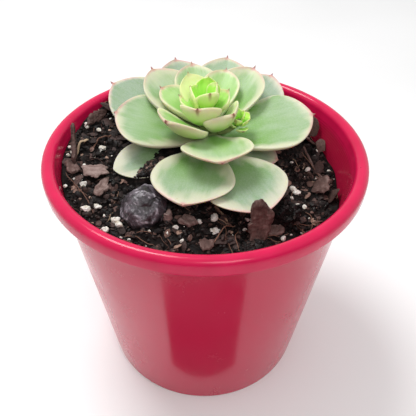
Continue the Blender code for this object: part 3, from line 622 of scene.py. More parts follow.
# The sizes are part.py's. youth: 0 for the oldest leaves, 1 for the heart. margin: the pale edge's width, in
# millimetres. spike: the length of the sharp point at the tip, in millimetres.
Leaf = namedtuple("Leaf", "name azimuth seat length width pitch tip_pitch roll cup youth margin spike")
LEAVES = [
    ("leaf_01_half_buried", 200, 0.8, 41, 26, 2, -5, -5, 0.14, 0.00, 6.0, 0.1),
    ("leaf_02_low_right", 346, 1.0, 27, 21, 1, -3, 0, 0.10, 0.05, 6.0, 0.5),
    ("leaf_03_low_front_right", 296, 1.8, 47, 37, 3, -1, 0, 0.12, 0.00, 6.5, 0.5),
    ("leaf_04_back", 111, 2.9, 49, 31, 17, 30, 0, 0.14, 0.00, 2.6, 1.8),
    ("leaf_05_back_right", 53, 3.4, 48, 31, 12, 22, 10, 0.12, 0.00, 2.6, 1.6),
    ("leaf_06_front", 257, 4.2, 42, 36, 5, -3, 0, 0.10, 0.05, 7.0, 0.6),
    ("leaf_07_back_left", 150, 3.8, 52, 32, 12, 22, -12, 0.10, 0.00, 2.6, 1.8),
    ("leaf_08_back", 80, 5.2, 47, 31, 17, 28, 0, 0.14, 0.05, 3.2, 1.8),
    ("leaf_09_right", 8, 5.8, 44, 36, 11, 15, 10, 0.12, 0.12, 3.2, 1.3),
    ("leaf_10_left", 173, 7.0, 40, 33, 11, 16, -12, 0.12, 0.12, 3.6, 0.9),
    ("leaf_11_back_left", 132, 7.6, 41, 28, 18, 32, 3, 0.23, 0.15, 6.0, 1.8),
    ("leaf_12_front", 279, 9.8, 31, 31, 12, 17, 0, 0.20, 0.22, 4.2, 0.8),
    ("leaf_13_back_right", 57, 9.6, 38, 24, 18, 30, 5, 0.31, 0.20, 4.4, 1.9),
    ("leaf_14_back", 104, 10.8, 35, 22, 21, 30, 0, 0.25, 0.22, 3.2, 1.7),
    ("leaf_15_front_left", 222, 12.0, 24.3, 28.3, 18, 49, 5, 0.27, 0.40, 5.0, 1.0),
    ("leaf_16_back", 75, 12.8, 30, 18, 19, 31, 4, 0.35, 0.38, 2.6, 1.5),
    ("leaf_17_left", 144, 13.8, 25.3, 15.5, 15, 29, -4, 0.36, 0.42, 2.6, 1.5),
    ("leaf_18_front_right", 320, 14.2, 15, 23.2, 27, 63, 2, 0.44, 0.50, 4.6, 0.9),
    ("leaf_19_inner_back_left", 122, 15.7, 21.0, 15.6, 38, 60, 3, 0.31, 0.90, 14.0, 1.0),
    ("leaf_20_inner_front", 255, 17.8, 18, 18.4, 24, 66, 5, 0.45, 0.62, 4.4, 1.0),
    ("leaf_21_inner_right", 32, 18.3, 13, 12.5, 35, 63, 0, 0.39, 0.70, 2.4, 1.1),
    ("leaf_22_inner_left", 158, 18.6, 12.5, 11.5, 26, 42, 1, 0.40, 0.70, 2.0, 1.1),
    ("leaf_23_heart_back", 81, 21.0, 14, 12, 57, 82, 0, 0.42, 1.00, 1.0, 0.5),
    ("leaf_24_heart_front", 288, 22.7, 12, 10.6, 46, 82, 0, 0.42, 1.00, 1.4, 0.4),
    ("leaf_25_heart_left", 172, 20.6, 12.8, 11.5, 58, 80, 0, 0.42, 1.00, 1.2, 0.4),
    ("leaf_26_heart_bud", 22, 22.2, 12.2, 9, 62, 84, 0, 0.42, 0.95, 2.2, 0.4),
]
OFFSET_AZIMUTH = 352.0
OFFSET_REACH = 12.8 * MM
OFFSET_FOOT = 10.5 * MM
OFFSET_TOP = 18.2 * MM
OFFSET_STEM_RADIUS = 1.4 * MM
OFFSET_STEM_TIP_RADIUS = 0.5 * MM
OFFSET_STEM_FLARE = 0.12
OFFSET_THICKNESS = 1.3 * MM
OFFSET_LEAVES = [
    ("offset_leaf_1", 288, -4.4, 6.4, 5.8, 8, 36, 0, 0.34, 1.00, 0.7, 0.3),
    ("offset_leaf_2", 205, -3.8, 5.2, 5.2, 22, 52, 0, 0.34, 1.00, 0.6, 0.25),
    ("offset_leaf_3", 40, -3.6, 6.8, 6.0, 30, 60, 0, 0.34, 1.00, 0.7, 0.3),
    ("offset_leaf_4", 335, -3.0, 6.2, 5.8, 30, 62, 0, 0.35, 1.00, 0.6, 0.25),
    ("offset_leaf_5", 245, -2.4, 5.4, 5.4, 38, 72, 0, 0.36, 1.00, 0.6, 0.25),
    ("offset_leaf_6", 120, -1.8, 6.4, 5.6, 48, 78, 0, 0.38, 1.00, 0.6, 0.25),
    ("offset_leaf_7", 10, -0.8, 5.0, 4.6, 56, 84, 0, 0.40, 1.00, 0.5, 0.25),
]


def half_width(share):
    """A leaf's half width at this share of its length, against its greatest half width."""
    if share < LEAF_WIDEST:
        rise = math.sin(0.5 * math.pi * share / LEAF_WIDEST) ** 1.35
        return LEAF_BASE_SHARE + (1.0 - LEAF_BASE_SHARE) * rise
    fall = (share - LEAF_WIDEST) / (1.0 - LEAF_WIDEST)
    return max(1.0 - fall**2.1, 0.0) ** 0.72


def thickness_along(share):
    """A leaf's thickness at this share of its length, against its greatest thickness."""
    return 0.62 + 0.38 * math.sin(math.pi * min(share / 0.8, 1.0)) - 0.34 * max(share - 0.6, 0.0) / 0.4


def stem_radius(above):
    share = min(max(above / STEM_HEIGHT, 0.0), 1.0)
    return STEM_RADIUS + (STEM_TIP_RADIUS - STEM_RADIUS) * share**2


def stem_centre(above):
    return Vector((-STEM_LEAN * max(above / STEM_HEIGHT, 0.0) ** 2, 0.0, above))


def leaf_thickness(leaf):
    return max(LEAF_LEAST_THICKNESS, LEAF_THICKNESS * (leaf.length * MM / LEAF_THICKNESS_AT) ** LEAF_THINNING)


def outline_distance(length, width, places):
    """How far each (along, across) place in the flat leaf is from the leaf's outline."""
    shares = np.linspace(0.0, 1.0, 240)
    halves = np.array([0.5 * width * half_width(s) for s in shares])
    edge = np.stack([np.concatenate([shares, shares]) * length, np.concatenate([halves, -halves])], 1)
    gaps = places[:, None, :] - edge[None, :, :]
    return np.sqrt((gaps**2).sum(2)).min(1)


def round_angles(sides):
    return [FULL_TURN * j / sides for j in range(sides)]


def ring_of(centre, side, up, radius, sides):
    """Points round a centre, in the plane of the directions side and up."""
    return [centre + (side * math.cos(turn) + up * math.sin(turn)) * radius for turn in round_angles(sides)]


def leaf_surface(leaf, thickness, stations, sides):
    """Points, faces and the shader's attributes of one leaf that starts at the origin and runs along +X."""
    chance = random.Random(leaf.name)
    length, width = leaf.length * MM, leaf.width * MM
    thickness = thickness * (1.0 + INNER_FLESH * math.sin(math.pi * min(leaf.youth, 1.0)))
    spike_length, spike_radius = leaf.spike * MM, min(0.65 * MM, 0.026 * width)
    wave_start, wave_count = chance.uniform(0, 6.28), chance.uniform(1.5, 2.6)
    wave_depth = LEAF_WAVINESS * width
    across = Vector((0.0, 1.0, 0.0))
    place, previous = Vector((0.0, 0.0, 0.0)), 0.0
    points, where, what, flat = [], [], [], []
    seed = chance.uniform(0, 10)
    for k in range(stations + SPIKE_ROWS):
        in_blade = k < stations
        share = math.sin(0.5 * math.pi * k / (stations - 1)) ** 0.9 if in_blade else 1.0
        beyond = 0.0 if in_blade else spike_length * (k - stations + 1) / SPIKE_ROWS
        lift = SPIKE_LIFT * beyond / spike_length
        slope = math.radians(leaf.pitch + (leaf.tip_pitch - leaf.pitch) * share + lift)
        along = Vector((math.cos(slope), 0.0, math.sin(slope)))
        place = place + along * (length * (share - previous) if in_blade else spike_length / SPIKE_ROWS)
        previous = share
        side = Matrix.Rotation(math.radians(leaf.roll), 3, along) @ across
        up = along.cross(side)
        from_end = length * (1.0 - share)
        spike = spike_radius * max(1.0 - beyond / spike_length, 0.04) ** 0.8 * (from_end < 2 * MM)
        half = max(0.5 * width * half_width(share), spike)
        deep = max(thickness * thickness_along(share) * min(1.0, (from_end / TIP_TAPER) ** 0.5), 2.0 * spike)
        curl_share = min(1.0, share * 3.0) * in_blade
        for angle in round_angles(sides):
            reach, lifted = math.cos(angle), math.sin(angle)
            rise = deep * (UPPER_SHARE if lifted > 0 else UPPER_SHARE - 1.0) * abs(lifted) ** RIM_ROUNDNESS
            curl = leaf.cup * half * reach**2 * curl_share
            phase = wave_start + (3.0 if reach > 0 else 0.0)
            wave = wave_depth * reach**4 * math.sin(phase + wave_count * math.pi * share)
            wave *= min(share * 2, 1.0) * in_blade
            keel = 0.0
            if lifted < 0 and share > 0.5:
                keel = -KEEL_DEPTH * deep * (share - 0.5) * 2 * math.exp(-((reach / KEEL_WIDTH) ** 2))
            groove = 0.0
            if lifted > 0 and in_blade:
                groove = -GROOVE_DEPTH * deep * math.exp(-((reach / GROOVE_WIDTH) ** 2))
            points.append(place + side * half * reach + up * (rise + curl + wave + keel + groove))
            flat.append((share * length + beyond, half * reach, seed))
            to_tip = math.hypot(from_end, half * reach) if beyond == 0 else -beyond
            where.append((0.0, share, to_tip if leaf.spike >= BLUNT_SPIKE else BLUNT_REACH))
            what.append((leaf.youth, 1.0 if lifted < -0.2 else 0.0, leaf.margin * MM))
    flat_places = np.array(flat)[:, :2]
    where = np.array(where)
    where[:, 0] = outline_distance(length, width, np.minimum(flat_places, [length, 1.0]))
    return points, band_faces(stations + SPIKE_ROWS, sides), where, np.array(what), np.array(flat)


def make_leaf(leaf, thickness, grid, centre, surface):
    """One leaf with its base on the stem, standing for its CAD node."""
    points, faces, where, what, flat = leaf_surface(leaf, thickness, *grid)
    turn = Matrix.Rotation(math.radians(leaf.azimuth), 3, "Z")
    base = centre + on_circle(surface + CLEARANCE, leaf.azimuth)
    mesh = mesh_from(leaf.name + "_blade", [turn @ p + base for p in points], faces)
    write_vectors(mesh, "leaf_where", where)
    write_vectors(mesh, "leaf_what", what)
    write_vectors(mesh, "leaf_flat", flat)
    return add_piece(leaf.name + "_blade", mesh, LEAF, [leaf.name])


def make_stem():
    """The short stem, ringed by old leaf scars, and its root."""
    outline = [(0.15 * MM, -ROOT_DEPTH), (ROOT_RADIUS, -ROOT_DEPTH + 1 * MM)]
    outline.append((STEM_RADIUS, -ROOT_DEPTH * 0.3))
    for k in range(SCAR_STEPS + 1):
        height = STEM_HEIGHT * k / SCAR_STEPS
        scar = SCAR_DEPTH * math.sin(FULL_TURN * height / SCAR_SPACING)
        outline.append((stem_radius(height) + scar * (1 - k / SCAR_STEPS), height))
    outline.append((0.15 * MM, STEM_HEIGHT + STEM_TIP_RADIUS))
    sides = 40
    turns = [360.0 * j / sides for j in range(sides)]
    points = [ROSETTE + stem_centre(h) + on_circle(r, turn) for r, h in outline for turn in turns]
    mesh = mesh_from("stem_scarred", points, band_faces(len(outline), sides), 60)
    return add_piece("stem_scarred", mesh, STEM, ["stem"])


def make_offset_stem():
    """The side shoot's stem, bent from the main stem's side up to the shoot's middle."""
    turn = Matrix.Rotation(math.radians(OFFSET_AZIMUTH), 3, "Z")
    lean = stem_centre(OFFSET_FOOT).x * math.cos(math.radians(OFFSET_AZIMUTH))
    start = Vector((stem_radius(OFFSET_FOOT) + CLEARANCE + lean, 0.0, OFFSET_FOOT))
    elbow = Vector((OFFSET_REACH, 0.0, OFFSET_FOOT + 0.3 * (OFFSET_TOP - OFFSET_FOOT)))
    tip = Vector((OFFSET_REACH, 0.0, OFFSET_TOP))
    across = Vector((0.0, 1.0, 0.0))
    points = []
    stations, sides = 20, 20
    for k in range(stations):
        share = k / (stations - 1)
        centre = start.lerp(elbow, share).lerp(elbow.lerp(tip, share), share)
        along = (elbow - start).lerp(tip - elbow, share).normalized()
        radius = OFFSET_STEM_RADIUS + (OFFSET_STEM_TIP_RADIUS - OFFSET_STEM_RADIUS) * share
        radius *= 1.0 + 0.05 * math.sin(share * 40)
        up = along.cross(across)
        points += [ROSETTE + turn @ spot for spot in ring_of(centre, across, up, radius, sides)]
    mesh = mesh_from("offset_shoot", points, band_faces(stations, sides), 60)
    return add_piece("offset_shoot", mesh, STEM, ["offset_stem"])


plant = [make_stem(), make_offset_stem()]
for leaf in map(Leaf._make, LEAVES):
    grid = SMALL_LEAF_GRID if leaf.length < SMALL_LEAF_LENGTH else LEAF_GRID
    centre, surface = ROSETTE + stem_centre(leaf.seat * MM), stem_radius(leaf.seat * MM)
    plant.append(make_leaf(leaf, leaf_thickness(leaf), grid, centre, surface))
offset_axis = ROSETTE + on_circle(OFFSET_REACH, OFFSET_AZIMUTH, OFFSET_TOP)
for leaf in map(Leaf._make, OFFSET_LEAVES):
    surface = OFFSET_STEM_TIP_RADIUS - OFFSET_STEM_FLARE * leaf.seat * MM
    centre = offset_axis + UP * leaf.seat * MM
    plant.append(make_leaf(leaf, OFFSET_THICKNESS, OFFSET_LEAF_GRID, centre, surface))


def tree_of(objects):
    """One search tree over these pieces, in the row frame."""
    points, faces = [], []
    for obj in objects:
        first = len(points)
        points.extend(v.co for v in obj.data.vertices)
        faces.extend(tuple(first + i for i in p.vertices) for p in obj.data.polygons)
    return BVHTree.FromPolygons(points, faces)


PLANT_TREE = tree_of(plant)


def drop_on(tree, x, y):
    """Where something dropped straight down meets the pieces in the tree, or None."""
    return tree.ray_cast(Vector((x, y, 2 * POT_HEIGHT)), DOWN)[0]


def under(tree, x, y, height, gap, look_from):
    """The height, lowered where it is needed to stay this gap under the pieces in the tree."""
    above = tree.ray_cast(Vector((x, y, height - look_from)), UP, 6 * MM)[0]
    return height if above is None else min(height, above.z - gap)


def clear_of(tree, point, radius):
    """Whether a ball at this point stays outside what is in the tree."""
    spot, normal, _, distance = tree.find_nearest(point)
    return spot is None or (distance > radius and (point - spot).dot(normal) > 0)


def make_soil():
    """The mix as one closed body: its rough surface, and plain sides and bottom in the pot."""
    rings, segments = 100, 330
    floor_top = FOOT_RING_HEIGHT + FLOOR_THICKNESS
    bottom = floor_top + CLEARANCE
    corner = bottom + FLOOR_THICKNESS
    points = [Vector((0.0, 0.0, rough_height(0.0, 0.0)))]
    for k in range(1, rings + 1):
        for j in range(segments):
            azimuth = 360.0 * j / segments
            edge_radius, edge_height = soil_edge(azimuth)
            spot = on_circle(edge_radius * (k / rings) ** 0.8, azimuth)
            height = rough_height(spot.x, spot.y)
            if k == rings:
                height = edge_height - 0.3 * MM
            else:
                height = under(PLANT_TREE, spot.x, spot.y, height, 0.4 * MM, 4 * MM)
            points.append(Vector((spot.x, spot.y, height)))
    lowest = wall_inside(corner) - CLEARANCE
    for radius, height in ((lowest, corner), (lowest - FLOOR_THICKNESS, bottom)):
        points.extend(on_circle(radius, 360.0 * j / segments, height) for j in range(segments))
    faces = [(0, 1 + j, 1 + (j + 1) % segments) for j in range(segments)]
    bands = band_faces(rings + 2, segments, closed_start=False)
    faces += [tuple(1 + i for i in face) for face in bands]
    name = "potting_mix_surface"
    add_piece(name, mesh_from(name, points, faces), SOIL, ["potting_mix"])


make_soil()

# ---- Chips, pebble and grains, worked up from their CAD solids ----


def remeshed(node, voxel):
    """The node's solid as an even mesh that can be worked further."""
    made = new_object("work_" + node, NODES[node].data.copy())
    modifier = made.modifiers.new("even", "REMESH")
    modifier.mode = "VOXEL"
    modifier.voxel_size = voxel
    graph = bpy.context.evaluated_depsgraph_get()
    mesh = bpy.data.meshes.new_from_object(made.evaluated_get(graph))
    bpy.data.objects.remove(made)
    return mesh


def main_axes(mesh):
    """The solid's middle and its own axes, longest first, as rows."""
    co = np.array([v.co for v in mesh.vertices])
    middle = co.mean(0)
    _, _, axes = np.linalg.svd(co - middle, full_matrices=False)
    return middle, axes


def work_up(
    node, ending, material, voxel, relief, shade, sharp_from, stretch, flaky=0.0, shift=(0, 0, 0)
):
    """A detailed piece from a CAD solid: evened, stretched along its own axes, then roughened by relief.

    voxel, relief, flaky and shift are in millimetres. relief is a list of (size, depth). flaky is how deep a
    flake's layers are cut; it also makes the flake's outline ragged.
    """
    name = node + ending
    mesh = remeshed(node, voxel * MM)
    middle, axes = main_axes(mesh)
    seed = Vector((len(name) * 1.7, sum(map(ord, name)) % 97, 3.0))
    normals = [v.normal.copy() for v in mesh.vertices]
    grain = []
    for vertex, normal in zip(mesh.vertices, normals):
        own = axes @ (np.array(vertex.co) - middle)
        grain.append(own)
        swell = sum(depth * MM * noise.noise(vertex.co / (size * MM) + seed) for size, depth in relief)
        swell -= 0.15 * sum(depth * MM for _, depth in relief)
        reach = 1.0
        if flaky:
            layers = noise.noise(Vector((own[0] / LAYER_LENGTH, own[1] / LAYER_WIDTH, 0.0)) + seed)
            swell += flaky * MM * round(layers * LAYERS) / LAYERS
            turn = math.atan2(own[1], own[0])
            rim = Vector((math.cos(turn), math.sin(turn), 0.0))
            reach += CHIP_BAYS * noise.noise(rim * 1.3 + seed) + CHIP_TEETH * noise.noise(rim * 4.0 + seed)
        grown = own * np.array(stretch) * np.array((reach, reach, 1.0))
        vertex.co = Vector(middle + axes.T @ grown) + normal * swell + Vector(shift) * MM
    shade_smoothly(mesh, sharp_from)
    write_numbers(mesh, "shade", np.full(len(mesh.vertices), shade))
    write_vectors(mesh, "grain_place", np.array(grain))
    return add_piece(name, mesh, material, [node])


LAYER_LENGTH, LAYER_WIDTH, LAYERS = 7 * MM, 3.5 * MM, 3.0
CHIP_BAYS = 0.34  # how deep the wide bays in a flake's outline are
CHIP_TEETH = 0.10  # and its small teeth
# Each flake of bark: its shade, and its stretch along, across and through.
BARK_LOOKS = {
    "bark_left_upright": (0.50, (1.0, 1.0, 0.8)),
    "bark_left_flat": (0.80, (1.05, 1.1, 0.62)),
    "bark_left_long": (0.74, (1.1, 1.05, 0.62)),
    "bark_left_low": (0.62, (1.0, 1.1, 0.6)),
    "bark_back_left_plate": (0.48, (1.0, 1.05, 0.8)),
    "bark_by_pebble": (0.86, (1.0, 1.1, 0.8)),
    "bark_front": (0.72, (1.0, 1.05, 0.7)),
    "bark_front_low": (0.58, (1.0, 1.1, 0.6)),
    "bark_flake_upright": (0.56, (1.0, 1.2, 0.8)),
    "bark_flake_low": (0.62, (1.1, 1.15, 0.7)),
    "bark_right_back": (0.60, (1.1, 1.1, 0.6)),
    "bark_right": (0.58, (1.1, 1.2, 0.6)),
}
BARK_RELIEF = [(2.6, 0.40), (1.0, 0.30)]
PEBBLE_RELIEF = [(9, 2.2), (3.6, 0.7), (1.4, 0.22)]
CLUMP_RELIEF = [(4.0, 2.6), (1.5, 1.5), (0.8, 0.6)]
TWIG_RELIEF = [(2.5, 0.25), (0.8, 0.12)]
PERLITE_RELIEF = [(1.4, 0.65), (0.6, 0.30)]
CLUMP_STRETCH, CLUMP_SHIFT = (1.1, 1.15, 1.4), (0, -1.5, 2.6)
litter = []
for node, (shade, stretch) in sorted(BARK_LOOKS.items()):
    litter.append(work_up(node, "_rough", BARK, 0.42, BARK_RELIEF, shade, 28, stretch, 0.45))
litter += [
    work_up("pebble", "_worn", PEBBLE, 0.5, PEBBLE_RELIEF, 0.5, 180, (1.04, 1.04, 1.04)),
    work_up(
        "peat_clump", "_rough", SOIL, 0.5, CLUMP_RELIEF, 0.5, 25, CLUMP_STRETCH, shift=CLUMP_SHIFT
    ),
    work_up("twig", "_rough", BARK, 0.25, TWIG_RELIEF, 0.70, 40, (1.0, 1.0, 1.0)),
]
for node in [f"perlite_{number}" for number in range(1, 8)]:
    grain_stretch = (1.3, 1.15, 1.1)
    litter.append(work_up(node, "_popped", PERLITE, 0.28, PERLITE_RELIEF, 0.5, 180, grain_stretch))
LITTER_TREE = tree_of(litter)

# ---- Scattered crumbs, flakes, grains and fibres ----


def random_direction(chance):
    return Vector((chance.gauss(0, 1), chance.gauss(0, 1), chance.gauss(0, 1))).normalized()


def unit_lump(seed, subdivisions, cuts, roughness):
    """A lump of about unit size with flat broken faces, as an array of points, and its triangles."""
    chance = random.Random(seed)
    maker = bmesh.new()
    bmesh.ops.create_icosphere(maker, subdivisions=subdivisions, radius=0.5)
    faces_of_break = []
    for _ in range(cuts):
        direction = random_direction(chance)
        faces_of_break.append((direction, chance.uniform(0.22, 0.42)))
    for vert in maker.verts:
        for direction, reach in faces_of_break:
            over = vert.co.dot(direction) - reach
            if over > 0:
                vert.co -= direction * over
        vert.co *= 1.0 + roughness * chance.uniform(-1, 1)
    points = np.array([v.co for v in maker.verts])
    faces = np.array([[v.index for v in f.verts] for f in maker.faces])
    maker.free()
    return points, faces


def joined_lumps(name, lumps, placements, material, sharp_from):
    """One mesh of many lumps. A placement is (lump number, matrix, shade)."""
    points, faces, shades = [], [], []
    first = 0
    for number, matrix, shade in placements:
        lump_points, lump_faces = lumps[number % len(lumps)]
        world = np.array(matrix)
        points.append(lump_points @ world[:3, :3].T + world[:3, 3])
        faces.append(lump_faces + first)
        shades.append(np.full(len(lump_points), shade))
        first += len(lump_points)
    points, faces = np.concatenate(points), np.concatenate(faces)
    mesh = bpy.data.meshes.new(name)
    mesh.from_pydata(points.tolist(), [], faces.tolist())
    shade_smoothly(mesh, sharp_from)
    write_numbers(mesh, "shade", np.concatenate(shades))
    return add_piece(name, mesh, material)


def random_spot(chance, margin):
    """A random place on the mix, evenly over its area up to this margin."""
    azimuth = chance.uniform(0, 360)
    radius = (soil_edge(azimuth)[0] - margin) * math.sqrt(chance.random())
    spot = on_circle(radius, azimuth)
    return Vector((spot.x, spot.y, rough_height(spot.x, spot.y)))


def random_turn(chance):
    axis = random_direction(chance)
    return Matrix.Rotation(chance.uniform(0, FULL_TURN), 4, axis)


def random_heading(chance):
    """A direction on the level, in radians, from 0 to just under a full turn."""
    return chance.uniform(0, 6.28)


def random_lie(chance, tilt):
    """A random turn about the vertical and a small random tilt, whose spread is given in radians."""
    return Matrix.Rotation(random_heading(chance), 4, "Z") @ Matrix.Rotation(chance.gauss(0, tilt), 4, "X")


def random_shade(chance, shades):
    """A shade drawn about the first number, with the second as its spread."""
    return min(max(chance.gauss(*shades), 0.02), 0.98)


def lump_at(spot, turn, length, width, height):
    """The matrix that gives a unit lump its size, its turn and its place."""
    return Matrix.Translation(spot) @ turn @ Matrix.Diagonal((length, width, height, 1.0))


def scatter(count, seed, sizes, flatness, shades, tilt=None, raise_by=0.15):
    """Placements of lumps on the mix, clear of the plant, of the larger litter and of the pot's wall."""
    chance = random.Random(seed)
    placements = []
    for number in range(count):
        length = sizes[0] + (sizes[1] - sizes[0]) * chance.random() ** 2.2
        spot = random_spot(chance, 0.45 * length + 0.3 * MM)
        width = length * chance.uniform(0.55, 0.9)
        height = length * chance.uniform(*flatness)
        spot.z += height * raise_by + chance.uniform(0, 0.35) * MM
        turn = random_turn(chance) if tilt is None else random_lie(chance, math.radians(tilt))
        shade = random_shade(chance, shades)
        clear = clear_of(PLANT_TREE, spot, 0.42 * length) and clear_of(LITTER_TREE, spot, 0.2 * length)
        if clear and spot.z + 0.5 * length <= POT_HEIGHT - 1 * MM:
            placements.append((number, lump_at(spot, turn, length, width, height), shade))
    return placements


def settle(count, seed, tree, low, high, sizes, shades, cover):
    """Placements of lumps that have fallen on the pieces in the tree, where nothing hangs over them."""
    chance = random.Random(seed)
    placements = []
    for number in range(count):
        length = sizes[0] + (sizes[1] - sizes[0]) * chance.random() ** 2
        x, y = chance.uniform(low[0], high[0]) * MM, chance.uniform(low[1], high[1]) * MM
        turn, luck = random_turn(chance), chance.random()
        shade = random_shade(chance, shades)
        height = length * chance.uniform(0.4, 0.8)
        hit = drop_on(tree, x, y)
        if hit is None or luck > cover(x, y):
            continue
        if PLANT_TREE.ray_cast(hit + UP * 0.3 * MM, UP, 60 * MM)[0] is None:
            spot = hit + UP * 0.25 * height
            placements.append((number, lump_at(spot, turn, length, 0.75 * length, height), shade))
    return placements


def strand_mesh(name, strands, sides=6):
    """Thin tubes. A strand is (points, radius, shade)."""
    points, faces, shades = [], [], []
    for line, radius, shade in strands:
        first = len(points)
        for k, here in enumerate(line):
            along = (line[min(k + 1, len(line) - 1)] - line[max(k - 1, 0)]).normalized()
            side = along.cross(UP).normalized()
            up = side.cross(along)
            thin = radius * (1.0 if 0 < k < len(line) - 1 else 0.45)
            points += ring_of(here, side, up, thin, sides)
            shades += [shade] * sides
        faces.extend(tuple(first + i for i in face) for face in band_faces(len(line), sides))
    mesh = mesh_from(name, points, faces, 60)
    write_numbers(mesh, "shade", np.array(shades))
    return add_piece(name, mesh, FIBRE)


def on_mix(x, y, above):
    """A place this far above the mix; one outside the pot's wall is drawn in to the mix's edge."""
    edge = soil_edge(math.degrees(math.atan2(y, x)))[0] - 0.6 * MM
    share = min(1.0, edge / max(math.hypot(x, y), 1e-9))
    return Vector((x * share, y * share, rough_height(x * share, y * share) + above))


def random_fibres(count, seed):
    chance = random.Random(seed)
    strands = []
    for _ in range(count):
        spot = random_spot(chance, 2 * MM)
        heading, bend = random_heading(chance), chance.gauss(0, 0.22)
        length, arch = chance.uniform(4, 16) * MM, chance.uniform(0.3, 1.8) * MM
        line, steps = [], 12
        x, y = spot.x, spot.y
        for k in range(steps + 1):
            line.append(on_mix(x, y, 0.25 * MM + arch * math.sin(math.pi * k / steps)))
            heading += bend * 0.35 + chance.gauss(0, 0.12)
            x += math.cos(heading) * length / steps
            y += math.sin(heading) * length / steps
        radius, shade = chance.uniform(0.07, 0.17) * MM, chance.uniform(0.1, 0.85)
        if all(clear_of(PLANT_TREE, p, 0.5 * MM) and clear_of(LITTER_TREE, p, 0.3 * MM) for p in line):
            strands.append((line, radius, shade))
    return strands


def placed_strand(x0, y0, x1, y1, radius, shade, arch, sway):
    """A strand between two places on the mix, in millimetres."""
    line = []
    for k in range(15):
        share = k / 14
        swing = sway * math.sin(math.pi * share) + 0.3 * math.sin(9 * share + x0)
        length = math.hypot(x1 - x0, y1 - y0)
        x = x0 + (x1 - x0) * share - (y1 - y0) / length * swing
        y = y0 + (y1 - y0) * share + (x1 - x0) / length * swing
        line.append(on_mix(x * MM, y * MM, 0.3 * MM + arch * MM * math.sin(math.pi * share)))
    return line, radius * MM, shade


# Strands that show most: from x, y to x, y, radius, shade, rise and sway.
STRANDS = (
    (2, -41, 13, -27, 0.22, 0.55, 2.0, 0.8),
    (14, -30, 15, -43, 0.18, 0.50, 1.6, -1.5),
    (44, -17, 45, -27, 0.15, 0.45, 2.5, 2.0),
    (38, -25, 52, -24, 0.15, 0.50, 1.5, 1.0),
    (-57, -14, -46, -29, 0.16, 0.35, 1.2, 1.2),
    (-60, -10, -49, -20, 0.16, 0.30, 1.0, -1.0),
    (-58, 4, -53, 15, 0.55, 0.92, 1.6, 0.3),
    (3, -17, 10, -25, 0.60, 0.78, 0.6, 0.2),
    (4, -19, 12, -28, 0.30, 0.20, 0.8, -0.3),
    (-52, 10, -44, 20, 0.35, 0.30, 1.4, 0.6),
    (-33, -38, -20, -42, 0.16, 0.40, 0.9, 0.8),
    (46, 22, 54, 6, 0.16, 0.45, 1.4, -1.0),
)
# Grains of perlite besides the CAD's: x, y and length, in millimetres.
GRAINS = (
    (-56, 22, 3.8), (-50, 20, 2.6), (-61, 6, 2.2), (-61, 2, 2.4), (-50, 4, 1.8), (-59, -17, 2.0),
    (-49, -28, 4.6), (-35, -33, 4.2), (-48, 37, 1.8), (-46, 30, 1.6), (51, 32, 2.0), (48, 9, 3.2),
    (40, -4, 4.4), (39, -9, 2.2), (41, -14, 3.4), (44, -14, 2.6), (47, -5, 1.8), (58, 9, 2.4),
    (-2, -27, 2.6), (4, -25, 4.6), (-12, -31, 2.8), (18, -25, 2.4), (17, -29, 2.2), (-9, -38, 2.4),
    (33, -33, 3.0), (-41, -30, 2.0), (-30, -40, 1.6), (24, -42, 1.6),
)


def placed_grains():
    chance = random.Random(5)
    placements = []
    for number, (x, y, length) in enumerate(GRAINS):
        spot = on_mix(x * MM, y * MM, 0.28 * length * MM)
        size = (length * MM, length * chance.uniform(0.6, 0.8) * MM, length * chance.uniform(0.6, 0.8) * MM)
        placements.append((number, lump_at(spot, random_lie(chance, 0.3), *size), 0.5))
    return placements


# Large flakes besides the CAD's: x, y and the middle's rise, then length, width and thickness, in
# millimetres, then turn and lean in degrees, and shade.
PLATES = (
    (52.0, 31.0, 6.5, 15.0, 8.0, 1.8, 31, -74, 0.56),
    (55.5, 22.0, 2.5, 9.0, 7.0, 1.6, 60, -48, 0.60),
    (57.5, -7.0, 2.6, 9.5, 8.0, 1.8, 352, -58, 0.50),
    (53.0, 12.0, 1.0, 8.5, 6.0, 1.5, 80, -16, 0.44),
    (-59.0, -3.0, 1.0, 9.0, 6.0, 1.6, 170, -18, 0.46),
    (-55.0, -13.0, 0.8, 8.0, 5.5, 1.5, 40, -14, 0.52),
    (-46.0, 34.0, 3.0, 12.0, 7.0, 1.6, 200, -30, 0.40),
    (36.0, -39.0, 1.2, 8.5, 5.0, 1.5, 150, -24, 0.62),
)


def placed_plates():
    placements = []
    for number, (x, y, rise, length, width, thick, turn, lean, shade) in enumerate(PLATES):
        spot = on_mix(x * MM, y * MM, rise * MM)
        facing = Matrix.Rotation(math.radians(turn), 4, "Z") @ Matrix.Rotation(math.radians(lean), 4, "Y")
        placements.append((number, lump_at(spot, facing, length * MM, width * MM, thick * MM), shade))
    return placements


def mound(x, y, radius, height, count, seed, sizes, shades):
    """Placements of lumps piled in a low heap on the mix, highest at its middle."""
    chance = random.Random(seed)
    placements = []
    for number in range(count):
        away, azimuth = math.sqrt(chance.random()), chance.uniform(0, FULL_TURN)
        length = chance.uniform(*sizes)
        rise = height * (1.0 - away * away) * math.sqrt(chance.random())
        reach = radius * away
        spot = on_mix(x + reach * math.cos(azimuth), y + reach * math.sin(azimuth), rise)
        shade = random_shade(chance, shades)
        matrix = lump_at(spot, random_turn(chance), length, 0.75 * length, 0.55 * length)
        placements.append((number, matrix, shade))
    return placements


def over_leaf(x, y):
    """How densely the mix covers the half-buried leaf: bare at its tip and back, covered to the stem."""
    along = (x / MM + 33.5 - 0.5 * (y / MM + 9.0) + 2.5 * noise.noise(Vector((x, y, 0)) / (3 * MM))) / 6.0
    return min(max(along, 0.0), 1.0)


